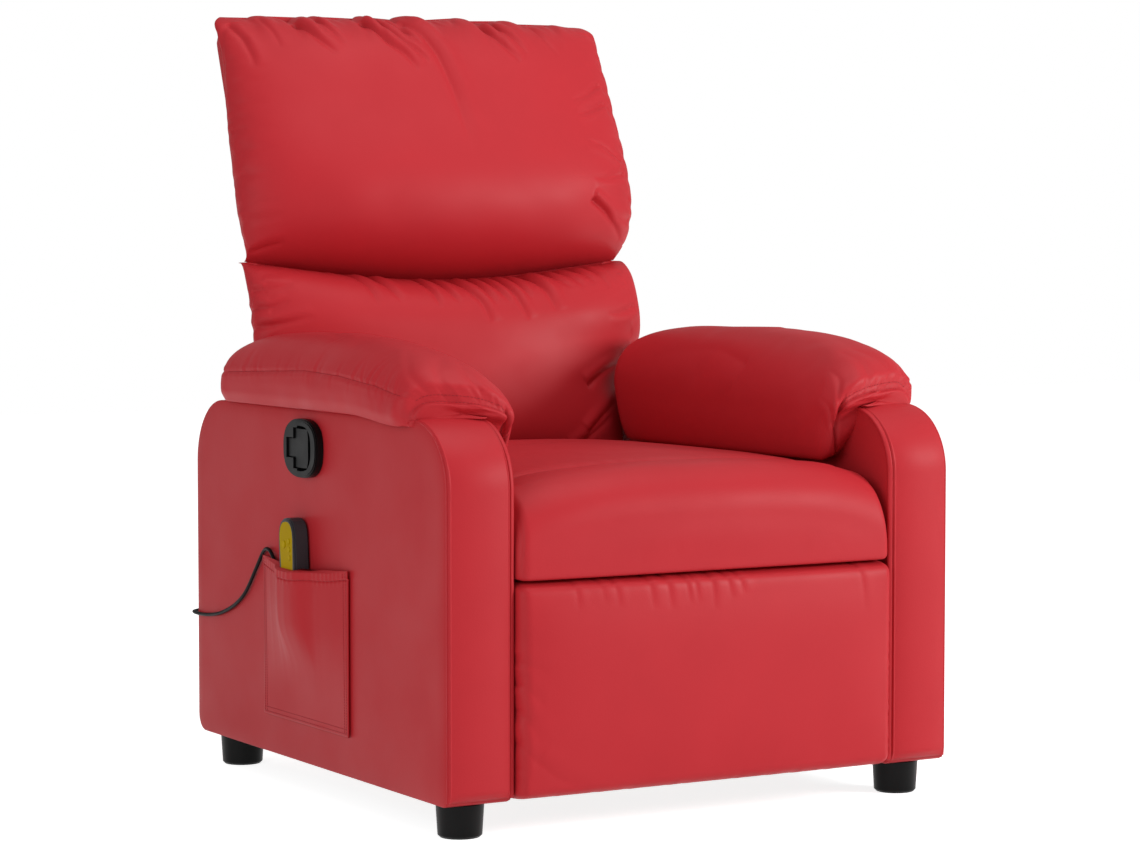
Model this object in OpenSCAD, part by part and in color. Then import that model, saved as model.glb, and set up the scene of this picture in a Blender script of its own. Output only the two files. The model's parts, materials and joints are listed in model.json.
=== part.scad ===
// Reclining massage armchair: two upholstered arm boxes on plastic feet, a sprung seat, a
// leaning back with head and lumbar pillows, and a lazy-tong footrest released by a pull handle.
// Millimetres, +Z up, the sitter faces -Y. Depths below are counted from the arms' front faces,
// and the whole chair is then moved so that the middle of its footprint is the origin.

/* [Overall] */
// Width over the two arm boxes
chair_w = 770; // [740:5:860]
// Depth of the arm boxes
arm_d = 768; // [756:2:800]
// Height of the arm boxes' tops above the floor
arm_top = 525; // [515:1:540]
// Width of one arm box
arm_w = 96; // [90:1:104]
// Height of the feet
foot_h = 46; // [40:1:50]
// Depth from the arms' front faces back to the origin
front_inset = 438; // [420:1:450]

/* [Arms] */
// Radius of the arm's front top corner
arm_front_r = 86; // [70:1:100]
// Radius of the arm's rear top corner
arm_rear_r = 90; // [60:1:110]
// Radius of the arm's rear bottom corner
arm_heel_r = 22; // [12:1:30]
// Radius of the arm's front bottom corner
arm_toe_r = 10; // [6:1:16]
// Thickness of the padded cover over the arm frame
cover_t = 5; // [3:0.5:8]
// Thickness of the timber in the arm frames
timber_t = 22; // [18:1:28]
// Depth of a timber rail or post
timber_w = 60; // [45:1:70]
// Thickness of the arm's front strip at its welts
strip_t = 4; // [3:0.5:6]
// How far the front strip crowns out between its welts
strip_crown = 7; // [2:0.5:10]

/* [Arm pads] */
// How far the pad overhangs the outer face of the arm
pad_out = 16; // [8:1:20]
// Thickness of the pad where it drapes down the inner face
pad_in = 46; // [36:1:50]
// Height of the pad above the arm box
pad_h = 97; // [80:1:110]
// Depth of the pad's front face behind the arm's front
pad_front = 76; // [70:1:90]
// Depth of the pad's rear end at the arm's top, which leans with the back
pad_rear = 658; // [630:2:660]
// Room left between the inner drape and the seat cushion
drape_gap = 5; // [3:1:10]

/* [Seat] */
// Side gap between the seat, the footrest and the arms
side_gap = 4; // [3.5:0.5:6]
// Height of the seat cushion at its sides
seat_z = 444; // [435:1:450]
// Crown of the seat cushion in the middle
seat_crown = 17; // [8:1:24]
// How far the seat's nose stands in front of the arms
seat_nose = 6; // [0:1:12]
// Depth of the seat cushion's rear edge
seat_rear = 606; // [580:2:608]
// Height of the crease under the seat's nose
crease_z = 327; // [324:1:332]
// Height of the top of the seat webbing
deck_z = 348; // [345:1:352]
// Depth in the seat top of the cross seam
seam_sink = 5; // [0:0.5:8]
// Height of the seat frame's timber
seat_rail_h = 27; // [22:1:29]
// Half width of the seat frame
seat_frame_half = 255; // [240:1:258]

/* [Footrest] */
// Thickness of the footrest pad
rest_pad_t = 62; // [50:1:64]
// Height of the footrest's bottom edge above the floor
rest_bottom = 46; // [44:1:60]
// Gap under the seat's nose
crease_gap = 3; // [2:0.5:5]
// Thickness of the plywood board
board_t = 12; // [9:1:15]
// Depth of the board's rear face
board_rear = 58; // [56:0.5:60]

/* [Footrest links] */
// Front link's pivot on the base plate, depth and height
pivot_a = [90, 304];
// Rear link's pivot on the base plate, depth and height
pivot_b = [130, 274];
// Crossing pivot of the front and lower links
pivot_c = [203.6, 139.2];
// Front link's far pivot, to the upper link
pivot_g = [208.6, 93];
// Lower link's rear pivot, to the rear link
pivot_d = [254.5, 104];
// Lower link's pivot on the footrest bracket
pivot_e = [72, 251.4];
// Upper link's pivot on the footrest bracket
pivot_f = [72, 206.6];
// Thickness of a steel link or plate
steel_t = 3; // [2.5:0.1:3.2]
// Gap between neighbouring steel layers
layer_gap = 3; // [2.5:0.1:3.2]
// Width of a link
link_w = 20; // [16:1:21]
// Radius of the link pins
pin_r = 4; // [3:0.5:4.5]
// Running clearance of a pin in its bore
pin_clear = 0.05; // [0.02:0.01:0.08]
// Play in the lower link's rear hole
play_d = 2.6; // [2.4:0.1:3]
// Play in the upper link's bracket hole
play_f = 1.6; // [1.4:0.1:2]
// Outer radius of the drive tube
tube_r = 11; // [9:0.5:12]
// Wall of the drive tube
tube_wall = 2.5; // [1.5:0.5:3]

/* [Back] */
// Lean of the back from upright, in degrees
back_lean = 15; // [12:0.5:18]
// Depth of the back's face line at the height of its base
back_y = 662; // [662:1:668]
// Height of the back's base line
back_z = 350; // [346:1:356]
// Length of the back from its base line to the top seam
back_len = 752; // [700:2:780]
// Thickness of the back frame's timber
back_timber_t = 22; // [20:1:26]
// Depth from the face line to the front of the back frame
back_frame_in = 12; // [10:1:16]
// Thickness of the back's rear cover
back_cover_t = 4; // [3:0.5:6]
// Lowest edge of the lumbar pillow along the back
lumbar_low = 44; // [40:1:60]
// Crease between the pillows along the back, at the sides
pillow_split = 386; // [370:1:400]
// Sag of that crease in the middle
split_sag = 18; // [0:1:24]
// Thickness of the lumbar pillow in front of the face line
lumbar_crown = 80; // [60:1:84]
// Thickness of the head pillow in front of the face line
head_crown = 108; // [80:1:116]
// How much wider each side of the back is at its top than between the arms
back_flare = 16; // [8:1:20]
// How far the pillows bulge past the back's sides above the arms
pillow_bulge = 16; // [4:1:20]
// Radius of the back's pivot pins
back_pin_r = 5; // [4:0.5:6]

/* [Handle] */
// Depth of the handle's centre
handle_y = 398; // [360:1:430]
// Height of the handle's centre
handle_z = 473; // [462:1:476]
// Length of the handle's bezel
bezel_l = 104; // [96:1:112]
// Height of the handle's bezel
bezel_h = 79; // [74:1:84]
// How far the bezel stands proud of the arm
bezel_out = 11; // [8:0.5:14]
// Depth of the handle's recess
bezel_deep = 24; // [20:1:30]
// Gap round the paddle
paddle_gap = 1.6; // [1:0.1:2.5]

/* [Side pocket and handset] */
// Front edge of the pocket
pocket_y0 = 268; // [240:1:290]
// Rear edge of the pocket
pocket_y1 = 529; // [510:1:560]
// Bottom of the pocket
pocket_z0 = 100; // [80:1:130]
// Top of the pocket at its corners
pocket_z1 = 319; // [300:1:325]
// Thickness of the pocket's cloth
pocket_t = 2.5; // [1.5:0.5:4]
// Width of the handset
handset_w = 50; // [42:1:54]
// Length of the handset
handset_l = 135; // [125:1:145]
// Thickness of the handset's shell
handset_t = 22; // [18:1:24]
// Depth of the handset's centre
handset_y = 412; // [405:1:420]
// Height of the handset's top
handset_top = 379; // [375:1:390]
// Travel of a handset key
key_travel = 0.8; // [0.5:0.1:1]
// Diameter of the handset's cord
cord_d = 5; // [4:0.2:6]

/* [Feet] */
// Diameter of a foot at its top
foot_top_d = 62; // [50:1:66]
// Diameter of a foot at the floor
foot_low_d = 57; // [46:1:62]
// Depth of the front feet's centres
foot_front_y = 54; // [46:1:70]
// Distance from the rear feet's centres to the arms' rear faces
foot_rear_in = 52; // [48:1:68]

/* [Massage motors] */
// Radius of a motor's housing
motor_r = 25; // [20:1:28]
// Thickness of a motor's housing
motor_t = 20; // [18:1:20]
// Radius of a motor's shaft
shaft_r = 2; // [1.5:0.5:3]

/* [Hidden] */
$fn = 48;

RED = "#C4303A";
SIDE_RED = "#A83C42";
TIMBER = "#B98A5A";
STEEL = "#8A8D90";
BLACK = "#2B2B2B";

half_w = chair_w / 2;
arm_in = half_w - arm_w;
seat_half = arm_in - side_gap;
touch = 0.3;

// ---------- shared forms ----------

module placed() {
    translate([0, -front_inset, 0]) children();
}

module both_sides() {
    children();
    mirror([1, 0, 0]) children();
}

function arc(c, r, a0, a1, n = 8) =
    [for (i = [0:n]) c + r * [cos(a0 + (a1 - a0) * i / n), sin(a0 + (a1 - a0) * i / n)]];

function sgn_pow(v, p) = sign(v) * pow(abs(v), p);

function oval(w, h, p = 2.6, n = 40) =
    [for (i = [0:n - 1]) [w / 2 * sgn_pow(cos(360 * i / n), 2 / p),
                          h / 2 * sgn_pow(sin(360 * i / n), 2 / p)]];

function ease(t) = let (s = min(1, max(0, t))) s * s * (3 - 2 * s);

function dome(t, p) = 1 - pow(min(1, abs(t)), p);

function ring_mean(r) = [for (k = [0:2]) (min([for (q = r) q[k]]) + max([for (q = r) q[k]])) / 2];

// Closed solid through a stack of rings with equally many points. Each end is closed by a fan about
// a hub, or for rings of an outer run followed by an inner run in reverse, by a strip between them.
module skin(rings, flip = false, hubs = [], strip = false) {
    n = len(rings[0]);
    m = len(rings);
    end = (m - 1) * n;
    points = concat([for (r = rings) each r], strip ? [] : [for (k = [0, 1])
        len(hubs) > 0 ? hubs[k] : ring_mean(rings[k * (m - 1)])]);
    sides = [for (k = [0:m - 2], i = [0:n - 1]) let (a = k * n + i, b = k * n + (i + 1) % n)
        each [[a, a + n, b], [b, a + n, b + n]]];
    fans = [for (i = [0:n - 1]) let (j = (i + 1) % n)
        each [[i, j, m * n], [end + j, end + i, m * n + 1]]];
    strips = [for (i = [0:n / 2 - 2]) let (j = n - 1 - i)
        each [[i, i + 1, j], [i + 1, j - 1, j],
              [end + i + 1, end + i, end + j], [end + j - 1, end + i + 1, end + j]]];
    faces = concat(sides, strip ? strips : fans);
    polyhedron(points, flip ? [for (f = faces) [f[0], f[2], f[1]]] : faces, convexity = 6);
}

// Tube swept along a list of points, each ring square to the route.
function unit(v) = v / norm(v);
function across(t) = unit(cross(t, abs(t[2]) < 0.9 ? [0, 0, 1] : [1, 0, 0]));
function smooth_path(p, per) = let (n = len(p)) concat([for (i = [0:n - 2], k = [0:per - 1])
    let (t = k / per, a = p[max(0, i - 1)], b = p[i], c = p[i + 1], d = p[min(n - 1, i + 2)])
    0.5 * (2 * b + (c - a) * t + (2 * a - 5 * b + 4 * c - d) * t * t
        + (3 * b - a - 3 * c + d) * t * t * t)], [p[n - 1]]);
module tube(route, d, sides) {
    n = len(route);
    rings = [for (i = [0:n - 1])
        let (t = unit(route[min(n - 1, i + 1)] - route[max(0, i - 1)]), u = across(t), v = cross(t, u))
        [for (k = [0:sides - 1]) route[i] + d / 2 * (cos(360 * k / sides) * u + sin(360 * k / sides) * v)]];
    skin(rings);
}

// Flat plate standing in the side plane: points are (depth, height), x runs outwards.
module side_plate(points, x0, t) {
    translate([x0, 0, 0]) rotate([90, 0, 90]) linear_extrude(t) polygon(points);
}

module side_pin(at, r, x0, x1) {
    translate([x0, at[0], at[1]]) rotate([0, 90, 0]) cylinder(r = r, h = x1 - x0);
}

// ---------- arms ----------

function arm_outline(inset) = concat(
    arc([strip_t + arm_toe_r, foot_h + arm_toe_r], arm_toe_r - inset, 270, 180, 4),
    arc([strip_t + arm_front_r, arm_top - arm_front_r], arm_front_r - inset, 180, 90, 12),
    arc([arm_d - arm_rear_r, arm_top - arm_rear_r], arm_rear_r - inset, 90, 0, 12),
    arc([arm_d - arm_heel_r, foot_h + arm_heel_r], arm_heel_r - inset, 0, -90, 6));

frame_x0 = arm_in + cover_t;
frame_x1 = half_w - cover_t;
frame_z0 = foot_h;
frame_z1 = arm_top - cover_t;
mech_rail_z = 302;
mech_rail_h = 70;
bolt_ys = [330, 470, 610];
bolt_r = 4;
cord_z = 216;
cable_d = 6;
cable_in = [372, 294];

module arm_frame() {
    color(TIMBER) difference() {
        union() {
            translate([frame_x0, strip_t + cover_t + arm_toe_r, frame_z0])
                cube([frame_x1 - frame_x0, arm_d - strip_t - 2 * cover_t - arm_toe_r - arm_heel_r, timber_t]);
            translate([frame_x0, strip_t + arm_front_r, frame_z1 - timber_t])
                cube([frame_x1 - frame_x0, arm_d - strip_t - arm_front_r - arm_rear_r, timber_t]);
            translate([frame_x0, strip_t + arm_front_r, frame_z0 + timber_t])
                cube([timber_w, timber_t, frame_z1 - frame_z0 - 2 * timber_t]);
            translate([frame_x0, arm_d - arm_rear_r - timber_t, frame_z0 + timber_t])
                cube([timber_w, timber_t, frame_z1 - frame_z0 - 2 * timber_t]);
            translate([frame_x0, strip_t + arm_front_r + timber_t, mech_rail_z - mech_rail_h / 2])
                cube([timber_t, arm_d - strip_t - arm_front_r - arm_rear_r - 2 * timber_t, mech_rail_h]);
        }
        for (y = bolt_ys)
            side_pin([y, mech_rail_z], bolt_r + pin_clear, frame_x0 - 1, frame_x0 + timber_t + 1);
        for (y = [foot_front_y, foot_rear_y]) translate([foot_x(), y, frame_z0 - 1])
            cylinder(r = foot_bolt_r + pin_clear, h = timber_t + 2);
    }
}

module arm_cover_shell() {
    difference() {
        side_plate(arm_outline(0), arm_in, arm_w);
        side_plate(concat([[strip_t + cover_t, foot_h - 1]],
                [for (p = arm_outline(cover_t)) if (p[1] > foot_h + arm_heel_r) p],
                [[arm_d - cover_t, foot_h - 1]]), frame_x0, frame_x1 - frame_x0);
        for (y = bolt_ys) side_pin([y, mech_rail_z], bolt_r + pin_clear, arm_in - 1, frame_x0 + 1);
    }
}

module arm_cover_right() {
    placed() color(SIDE_RED) mirror([1, 0, 0]) difference() {
        arm_cover_shell();
        side_pin(cable_in, cable_d, arm_in - 1, frame_x0 + 1);
        translate([half_w - cover_t - 1, handle_y, handle_z]) rotate([90, 0, 90])
            linear_extrude(cover_t + 2) polygon(oval(bezel_l - bezel_lip, bezel_h - bezel_lip));
        translate([gland_x, arm_d - cover_t - 1, cord_z]) rotate([-90, 0, 0])
            cylinder(r = gland_r, h = cover_t + 2);
    }
}

module arm_cover_left() {
    placed() color(SIDE_RED) arm_cover_shell();
}

module arm_frame_right() {
    placed() color(TIMBER) mirror([1, 0, 0]) difference() {
        arm_frame();
        side_pin(cable_in, cable_d, frame_x0 - 1, frame_x0 + timber_t + 1);
        translate([half_w - bezel_deep - 1, handle_y, handle_z]) rotate([90, 0, 90])
            linear_extrude(bezel_deep) polygon(oval(bezel_l - bezel_lip + 2, bezel_h - bezel_lip + 2));
    }
}

module arm_frame_left() {
    placed() arm_frame();
}

// Padded strip that runs up the arm's front face and over its rounded top corner.
strip_low = foot_h + arm_toe_r;
strip_high = arm_top - arm_front_r;
corner_step = 7.5;
function strip_path() = concat(
    [for (k = [0:5]) [strip_t, strip_low + (strip_high - strip_low) * k / 5, 180]],
    [for (a = [180 - corner_step:-corner_step:112])
        [strip_t + arm_front_r + arm_front_r * cos(a), strip_high + arm_front_r * sin(a), a]]);
module arm_front() {
    across_n = 8;
    path = strip_path();
    last = len(path) - 1;
    rings = [for (k = [0:last]) let (p = path[k], end = min(1, (k + 0.35) / 1.2, (last - k + 0.6) / 1.6))
        concat(
            [for (i = [0:across_n])
                let (t = 2 * i / across_n - 1, d = (strip_t + strip_crown * dome(t, 2.4)) * end)
                [arm_in + 1 + (arm_w - 2) * i / across_n, p[0] + d * cos(p[2]), p[1] + d * sin(p[2])]],
            [for (i = [across_n:-1:0])
                [arm_in + 1 + (arm_w - 2) * i / across_n, p[0], p[1]]])];
    color(RED) skin(rings);
}

module arm_front_right() {
    placed() mirror([1, 0, 0]) arm_front();
}

module arm_front_left() {
    placed() arm_front();
}

// Arm pad: a pillow over the arm box whose inner side drapes down to the seat.
drape_top = seat_z + seat_crown * 0.3 + drape_gap;
pad_mid = 400;
pad_curl = 24;
pad_skew = 26;
function pad_ring(y) =
    let (t = y < pad_mid ? (pad_mid - y) / (pad_mid - pad_front) : (y - pad_mid) / (pad_rear - pad_mid),
         rise = pad_h * (y < pad_mid ? max(0.52, pow(max(0, 1 - pow(t, 3.9)), 0.42))
             : max(0.6, pow(max(0, 1 - 0.5 * pow(t, 4)), 0.5) - 0.2 * ease((t - 0.92) / 0.08))),
         curl = 1 - sqrt(max(0, 1 - pow(1 - min(1, min(y - pad_front, pad_rear - y) / pad_curl), 2))),
         xo = half_w + pad_out - pad_curl * 0.7 * curl,
         xi = arm_in - pad_in + pad_curl * 0.8 * curl,
         xc = (xo + xi) / 2,
         a = (xo - xi) / 2,
         base = arm_top + touch,
         hang = 7 + (arm_top - drape_top - 7) * ease((y - pad_front - 22) / 36) * (1 - 0.1 * curl),
         slope = ease((y - pad_mid) / (pad_rear - pad_mid)) * tan(back_lean),
         skew = pad_skew * (1 - ease((y - pad_front) / 150)),
         n = 14)
    [for (p = concat(
        [for (i = [0:n]) let (q = 180 * i / n)
            [xc + a * sgn_pow(cos(q), 0.75), base + rise * pow(max(0, sin(q)), q > 90 ? 0.85 : 0.65)]],
        [[xi + 1, base - hang * 0.45], [xi + 6, base - hang * 0.8], [xi + 16, base - hang],
         [arm_in - touch - 6, base - hang], [arm_in - touch, base - hang * 0.9],
         [arm_in - touch, base], [half_w - 4, base]]))
     [p[0], y + slope * (p[1] - arm_top) + skew * (p[0] - arm_in - arm_w / 3) / arm_w, p[1]]];
pad_stations = concat(
    [for (k = [0:4]) pad_front + pad_curl * pow(k / 4, 2)], [for (y = [112, 126, 140, 200, 290]) y],
    [pad_mid, 480, 560, 610], [for (k = [4:-1:0]) pad_rear - pad_curl * pow(k / 4, 2)]);
function pad_hub(y) = let (tall = y > pad_mid ? 5 * tan(back_lean) : 0)
    [arm_in - pad_in + pad_curl * 0.8 + 23, y + tall - pad_skew * (y > pad_mid ? 0 : 0.6), arm_top + 5];
module arm_pad() {
    color(RED) skin([for (y = pad_stations) pad_ring(y)], true, [pad_hub(pad_front), pad_hub(pad_rear)]);
}

module arm_pad_right() {
    placed() mirror([1, 0, 0]) arm_pad();
}

module arm_pad_left() {
    placed() arm_pad();
}

// ---------- cross rails and feet ----------

front_rail_y = 300;
rail_h = 60;
rail_z = 62;
rear_rail_in = 78;
rear_rail_y = arm_d - rear_rail_in;
foot_rear_y = arm_d - foot_rear_in;

module cross_rail(y) {
    color(TIMBER) translate([-arm_in, y, rail_z]) cube([2 * arm_in, timber_t, rail_h]);
}

module front_rail() {
    placed() cross_rail(front_rail_y);
}

module rear_rail() {
    placed() cross_rail(rear_rail_y);
}

foot_bolt_r = 4;
foot_bevel = 3;
function foot_x() = (arm_in + half_w) / 2;
module at_feet() {
    for (s = [-1, 1], y = [foot_front_y, foot_rear_y]) translate([s * foot_x(), y, 0]) children();
}

module feet() {
    placed() color("#1C1C1C") at_feet() rotate_extrude() polygon([
        [foot_bolt_r + pin_clear, 0], [foot_low_d / 2 - foot_bevel, 0], [foot_low_d / 2, foot_bevel],
        [foot_top_d / 2, foot_h - foot_bevel], [foot_top_d / 2 - foot_bevel, foot_h],
        [foot_bolt_r + pin_clear, foot_h]]);
}

module foot_bolts() {
    placed() color(STEEL) at_feet() translate([0, 0, foot_bevel])
        cylinder(r = foot_bolt_r, h = foot_h + timber_t - foot_bevel);
}

// ---------- handle and latch ----------

bezel_lip = 12;
bezel_wall = 2.5;
paddle_t = 9;
tab_l = 22;
tab_h = 24;
block_l = 38;
block_h = 52;
recess_l = 24;
paddle_pin_r = 2.5;
paddle_pin_in = 7;
shoulder_swing = 0.9;
paddle_rear = bezel_l / 2 - 15;
face_drop = 2.5;
// Shapes of the handle are drawn with u to the rear and v up, about the bezel's centre.
function block_u() = paddle_rear - tab_l;
// The block's shoulders swing back as the paddle is pulled, so its recess is longer behind them.
module tee(g, swing = 0) {
    translate([block_u() - 1, -tab_h / 2 - g]) square([tab_l + 1 + g + swing / 2, tab_h + 2 * g]);
    translate([block_u() - block_l - g, -block_h / 2 - g])
        square([block_l + 2 * g + swing, block_h + 2 * g]);
}
module scoop() {
    intersection() {
        translate([block_u() - block_l - recess_l + 6, -bezel_h / 2])
            square([recess_l + block_l * 0.6, bezel_h]);
        polygon(oval(bezel_l - 2 * bezel_lip - 8, bezel_h - 2 * bezel_lip + 6, 2.8));
    }
}

module on_handle() {
    placed() mirror([1, 0, 0]) translate([half_w, handle_y, handle_z]) rotate([90, 0, 90]) children();
}

module handle_bezel() {
    on_handle() color(BLACK) difference() {
        union() {
            linear_extrude(bezel_out - 3) polygon(oval(bezel_l, bezel_h));
            translate([0, 0, bezel_out - 3]) linear_extrude(2) polygon(oval(bezel_l - 3, bezel_h - 3));
            translate([0, 0, bezel_out - 1]) linear_extrude(1) polygon(oval(bezel_l - 7, bezel_h - 7));
            translate([0, 0, -bezel_deep]) linear_extrude(bezel_deep)
                polygon(oval(bezel_l - bezel_lip - 0.4, bezel_h - bezel_lip - 0.4));
        }
        translate([0, 0, -bezel_deep + bezel_wall]) linear_extrude(bezel_deep + bezel_out) {
            tee(paddle_gap, shoulder_swing);
            scoop();
        }
        translate([paddle_rear - paddle_pin_in, 0, bezel_out - face_drop - paddle_t / 2]) rotate([90, 0, 0])
            cylinder(r = paddle_pin_r + pin_clear, h = tab_h + 12, center = true);
    }
}

module release_handle() {
    on_handle() color(BLACK) difference() {
        union() {
            translate([0, 0, bezel_out - face_drop - paddle_t]) linear_extrude(paddle_t) intersection() {
                tee(0);
                translate([block_u() - block_l + 60, 0]) circle(r = 62, $fn = 96);
            }
            translate([paddle_rear - paddle_pin_in, 0, bezel_out - face_drop - paddle_t / 2])
                rotate([90, 0, 0]) cylinder(r = paddle_pin_r, h = tab_h + 10, center = true);
        }
        translate([block_u() - block_l - 1, -block_h / 2 - 1, bezel_out - face_drop - paddle_t - 1])
            cube([7, block_h + 2, 4]);
    }
}

// The latch box is bolted on the right base plate; the release cable ends on its outer face.
latch_y = 345;
latch_z = 276;
latch_l = 60;
latch_h = 34;
latch_t = 16;
latch_wall = 2;
latch_lip = 8;
module latch_box() {
    placed() color(STEEL) mirror([1, 0, 0]) difference() {
        translate([plate_x - latch_t, latch_y, latch_z]) cube([latch_t, latch_l, latch_h]);
        translate([plate_x - latch_t + latch_wall, latch_y - 1, latch_z + latch_lip])
            cube([latch_t - 2 * latch_wall, latch_l - 2 * latch_wall, latch_h - 2 * latch_lip]);
    }
}

cable_top = handle_z - bezel_h / 2 + 14;
cable_turn = [[344, 397, 438], [338, 391, 404], [334, 382, 350], [331, 375, 311],
    [323, cable_in[0], 296], [315, cable_in[0], cable_in[1]]];
module release_cable() {
    placed() color(BLACK) mirror([1, 0, 0]) tube(smooth_path(concat(
        [for (x = [0, 4, 8]) [half_w - bezel_deep - x, handle_y, cable_top]], cable_turn,
        [[300, cable_in[0], cable_in[1]], [plate_x, cable_in[0], cable_in[1]]]), 4), cable_d, 8);
}

// ---------- steel side plates and footrest links ----------

plate_x = arm_in - steel_t;
front_link_x = plate_x - steel_t - layer_gap;
lower_link_x = front_link_x - steel_t - layer_gap;
rear_link_x = lower_link_x - steel_t - layer_gap;
plate_low = mech_rail_z - mech_rail_h / 2 + 6;
plate_high = 325;
back_pivot_u = 14;
back_pivot = back_line(back_pivot_u, -back_frame_in - back_timber_t / 2);

function back_line(u, w) = [back_y + u * sin(back_lean) - w * cos(back_lean),
                            back_z + u * cos(back_lean) + w * sin(back_lean)];

module base_plate() {
    color(STEEL) difference() {
        side_plate(concat(
            arc(pivot_a, 17, 90, 200, 8),
            arc(pivot_b, 17, 220, 290, 6),
            [[210, plate_low], [640, plate_low]],
            arc(back_pivot, 20, -40, 130, 8),
            [[640, plate_high]]), plate_x, steel_t);
        for (y = bolt_ys) side_pin([y, mech_rail_z], bolt_r + pin_clear, plate_x - 1, arm_in + 1);
        side_pin(pivot_a, pin_r + 1, plate_x - 1, arm_in + 1);
        side_pin(pivot_b, pin_r, plate_x - 1, arm_in + 1);
        side_pin(back_pivot, back_pin_r, plate_x - 1, arm_in + 1);
    }
    // Shelf that carries the seat frame
    color(STEEL) translate([seat_frame_half - 25, shelf_y0, deck_z - 3 - seat_rail_h - steel_t])
        cube([plate_x - seat_frame_half + 25, shelf_y1 - shelf_y0, steel_t]);
}
shelf_y0 = 300;
shelf_y1 = 590;

module base_plate_right() {
    placed() mirror([1, 0, 0]) difference() {
        base_plate();
        side_pin(cable_in, cable_d / 2 + 1, plate_x - 1, arm_in + 1);
    }
}

module base_plate_left() {
    placed() base_plate();
}

module base_pivots() {
    placed() color(STEEL) both_sides() {
        side_pin(pivot_a, pin_r + 1, front_link_x - 2, arm_in);
        side_pin(pivot_a, pin_r + 4, front_link_x + steel_t + touch, plate_x);
        side_pin(pivot_b, pin_r, rear_link_x - 2, arm_in);
        side_pin(back_pivot, back_pin_r, plate_x - steel_t - touch - 12, arm_in);
    }
}

module plate_bolts() {
    placed() color(STEEL) both_sides() for (y = bolt_ys) {
        side_pin([y, mech_rail_z], bolt_r, plate_x - 5, frame_x0 + timber_t);
        translate([plate_x - 5, y, mech_rail_z]) rotate([0, 90, 0]) cylinder(r = 7.5, h = 5, $fn = 6);
    }
}

// Straight bar with round ends between two pivots.
function bar(p, q, w) = let (a = atan2(q[1] - p[1], q[0] - p[0]))
    concat(arc(p, w / 2, a + 90, a + 270, 8), arc(q, w / 2, a - 90, a + 90, 8));

// Bar bent at a middle pivot.
function bent_bar(p, c, q, w) = let (
        a = atan2(c[1] - p[1], c[0] - p[0]), b = atan2(q[1] - c[1], q[0] - c[0]), m = (a + b) / 2)
    concat(arc(p, w / 2, a + 90, a + 270, 8), [c + w / 2 * [cos(m - 90), sin(m - 90)]],
        arc(q, w / 2, b - 90, b + 90, 8), [c + w / 2 * [cos(m + 90), sin(m + 90)]]);

module front_links() {
    placed() color(STEEL) both_sides() difference() {
        side_plate(bent_bar(pivot_a, pivot_c, pivot_g, link_w), front_link_x, steel_t);
        side_pin(pivot_a, pin_r + 1 + pin_clear, front_link_x - 1, front_link_x + steel_t + 1);
        side_pin(pivot_c, pin_r, front_link_x - 1, front_link_x + steel_t + 1);
        side_pin(pivot_g, pin_r, front_link_x - 1, front_link_x + steel_t + 1);
    }
}

module front_link_rivets() {
    placed() color(STEEL) both_sides() for (p = [pivot_c, pivot_g]) {
        side_pin(p, pin_r, lower_link_x - 1.5, front_link_x + steel_t + 1.5);
        side_pin(p, pin_r + 3, front_link_x + steel_t, front_link_x + steel_t + 1.5);
        side_pin(p, pin_r + 3, lower_link_x - 1.5, lower_link_x - touch);
    }
}

module drive_tube() {
    placed() color(STEEL) translate([-front_link_x, pivot_a[0], pivot_a[1]]) rotate([0, 90, 0]) difference() {
        cylinder(r = tube_r, h = 2 * front_link_x);
        translate([0, 0, -1]) cylinder(r = tube_r - tube_wall, h = 2 * front_link_x + 2);
    }
}

module lower_links() {
    placed() color(STEEL) both_sides() difference() {
        side_plate(bent_bar(pivot_e, pivot_c, pivot_d, link_w), lower_link_x, steel_t);
        side_pin(pivot_e, pin_r + pin_clear, lower_link_x - 1, lower_link_x + steel_t + 1);
        side_pin(pivot_c, pin_r + pin_clear, lower_link_x - 1, lower_link_x + steel_t + 1);
        side_pin(pivot_d, pin_r + play_d, lower_link_x - 1, lower_link_x + steel_t + 1);
    }
}

module upper_links() {
    placed() color(STEEL) both_sides() difference() {
        side_plate(bar(pivot_f, pivot_g, link_w), lower_link_x, steel_t);
        side_pin(pivot_g, pin_r + pin_clear, lower_link_x - 1, lower_link_x + steel_t + 1);
        side_pin(pivot_f, pin_r + play_f, lower_link_x - 1, lower_link_x + steel_t + 1);
    }
}

module rear_links() {
    placed() color(STEEL) both_sides() {
        difference() {
            side_plate(bar(pivot_b, pivot_d, link_w), rear_link_x, steel_t);
            side_pin(pivot_b, pin_r + pin_clear, rear_link_x - 1, rear_link_x + steel_t + 1);
        }
        side_pin(pivot_d, pin_r, rear_link_x, lower_link_x + steel_t + 1);
    }
}

// ---------- footrest ----------

rest_top = crease_z - crease_gap;
rest_front = board_rear - board_t - rest_pad_t;

module footrest_board() {
    placed() color(TIMBER) translate([-seat_half + 14, board_rear - board_t, rest_bottom + 8])
        cube([2 * (seat_half - 14), board_t, rest_top - rest_bottom - 16]);
}

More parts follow.
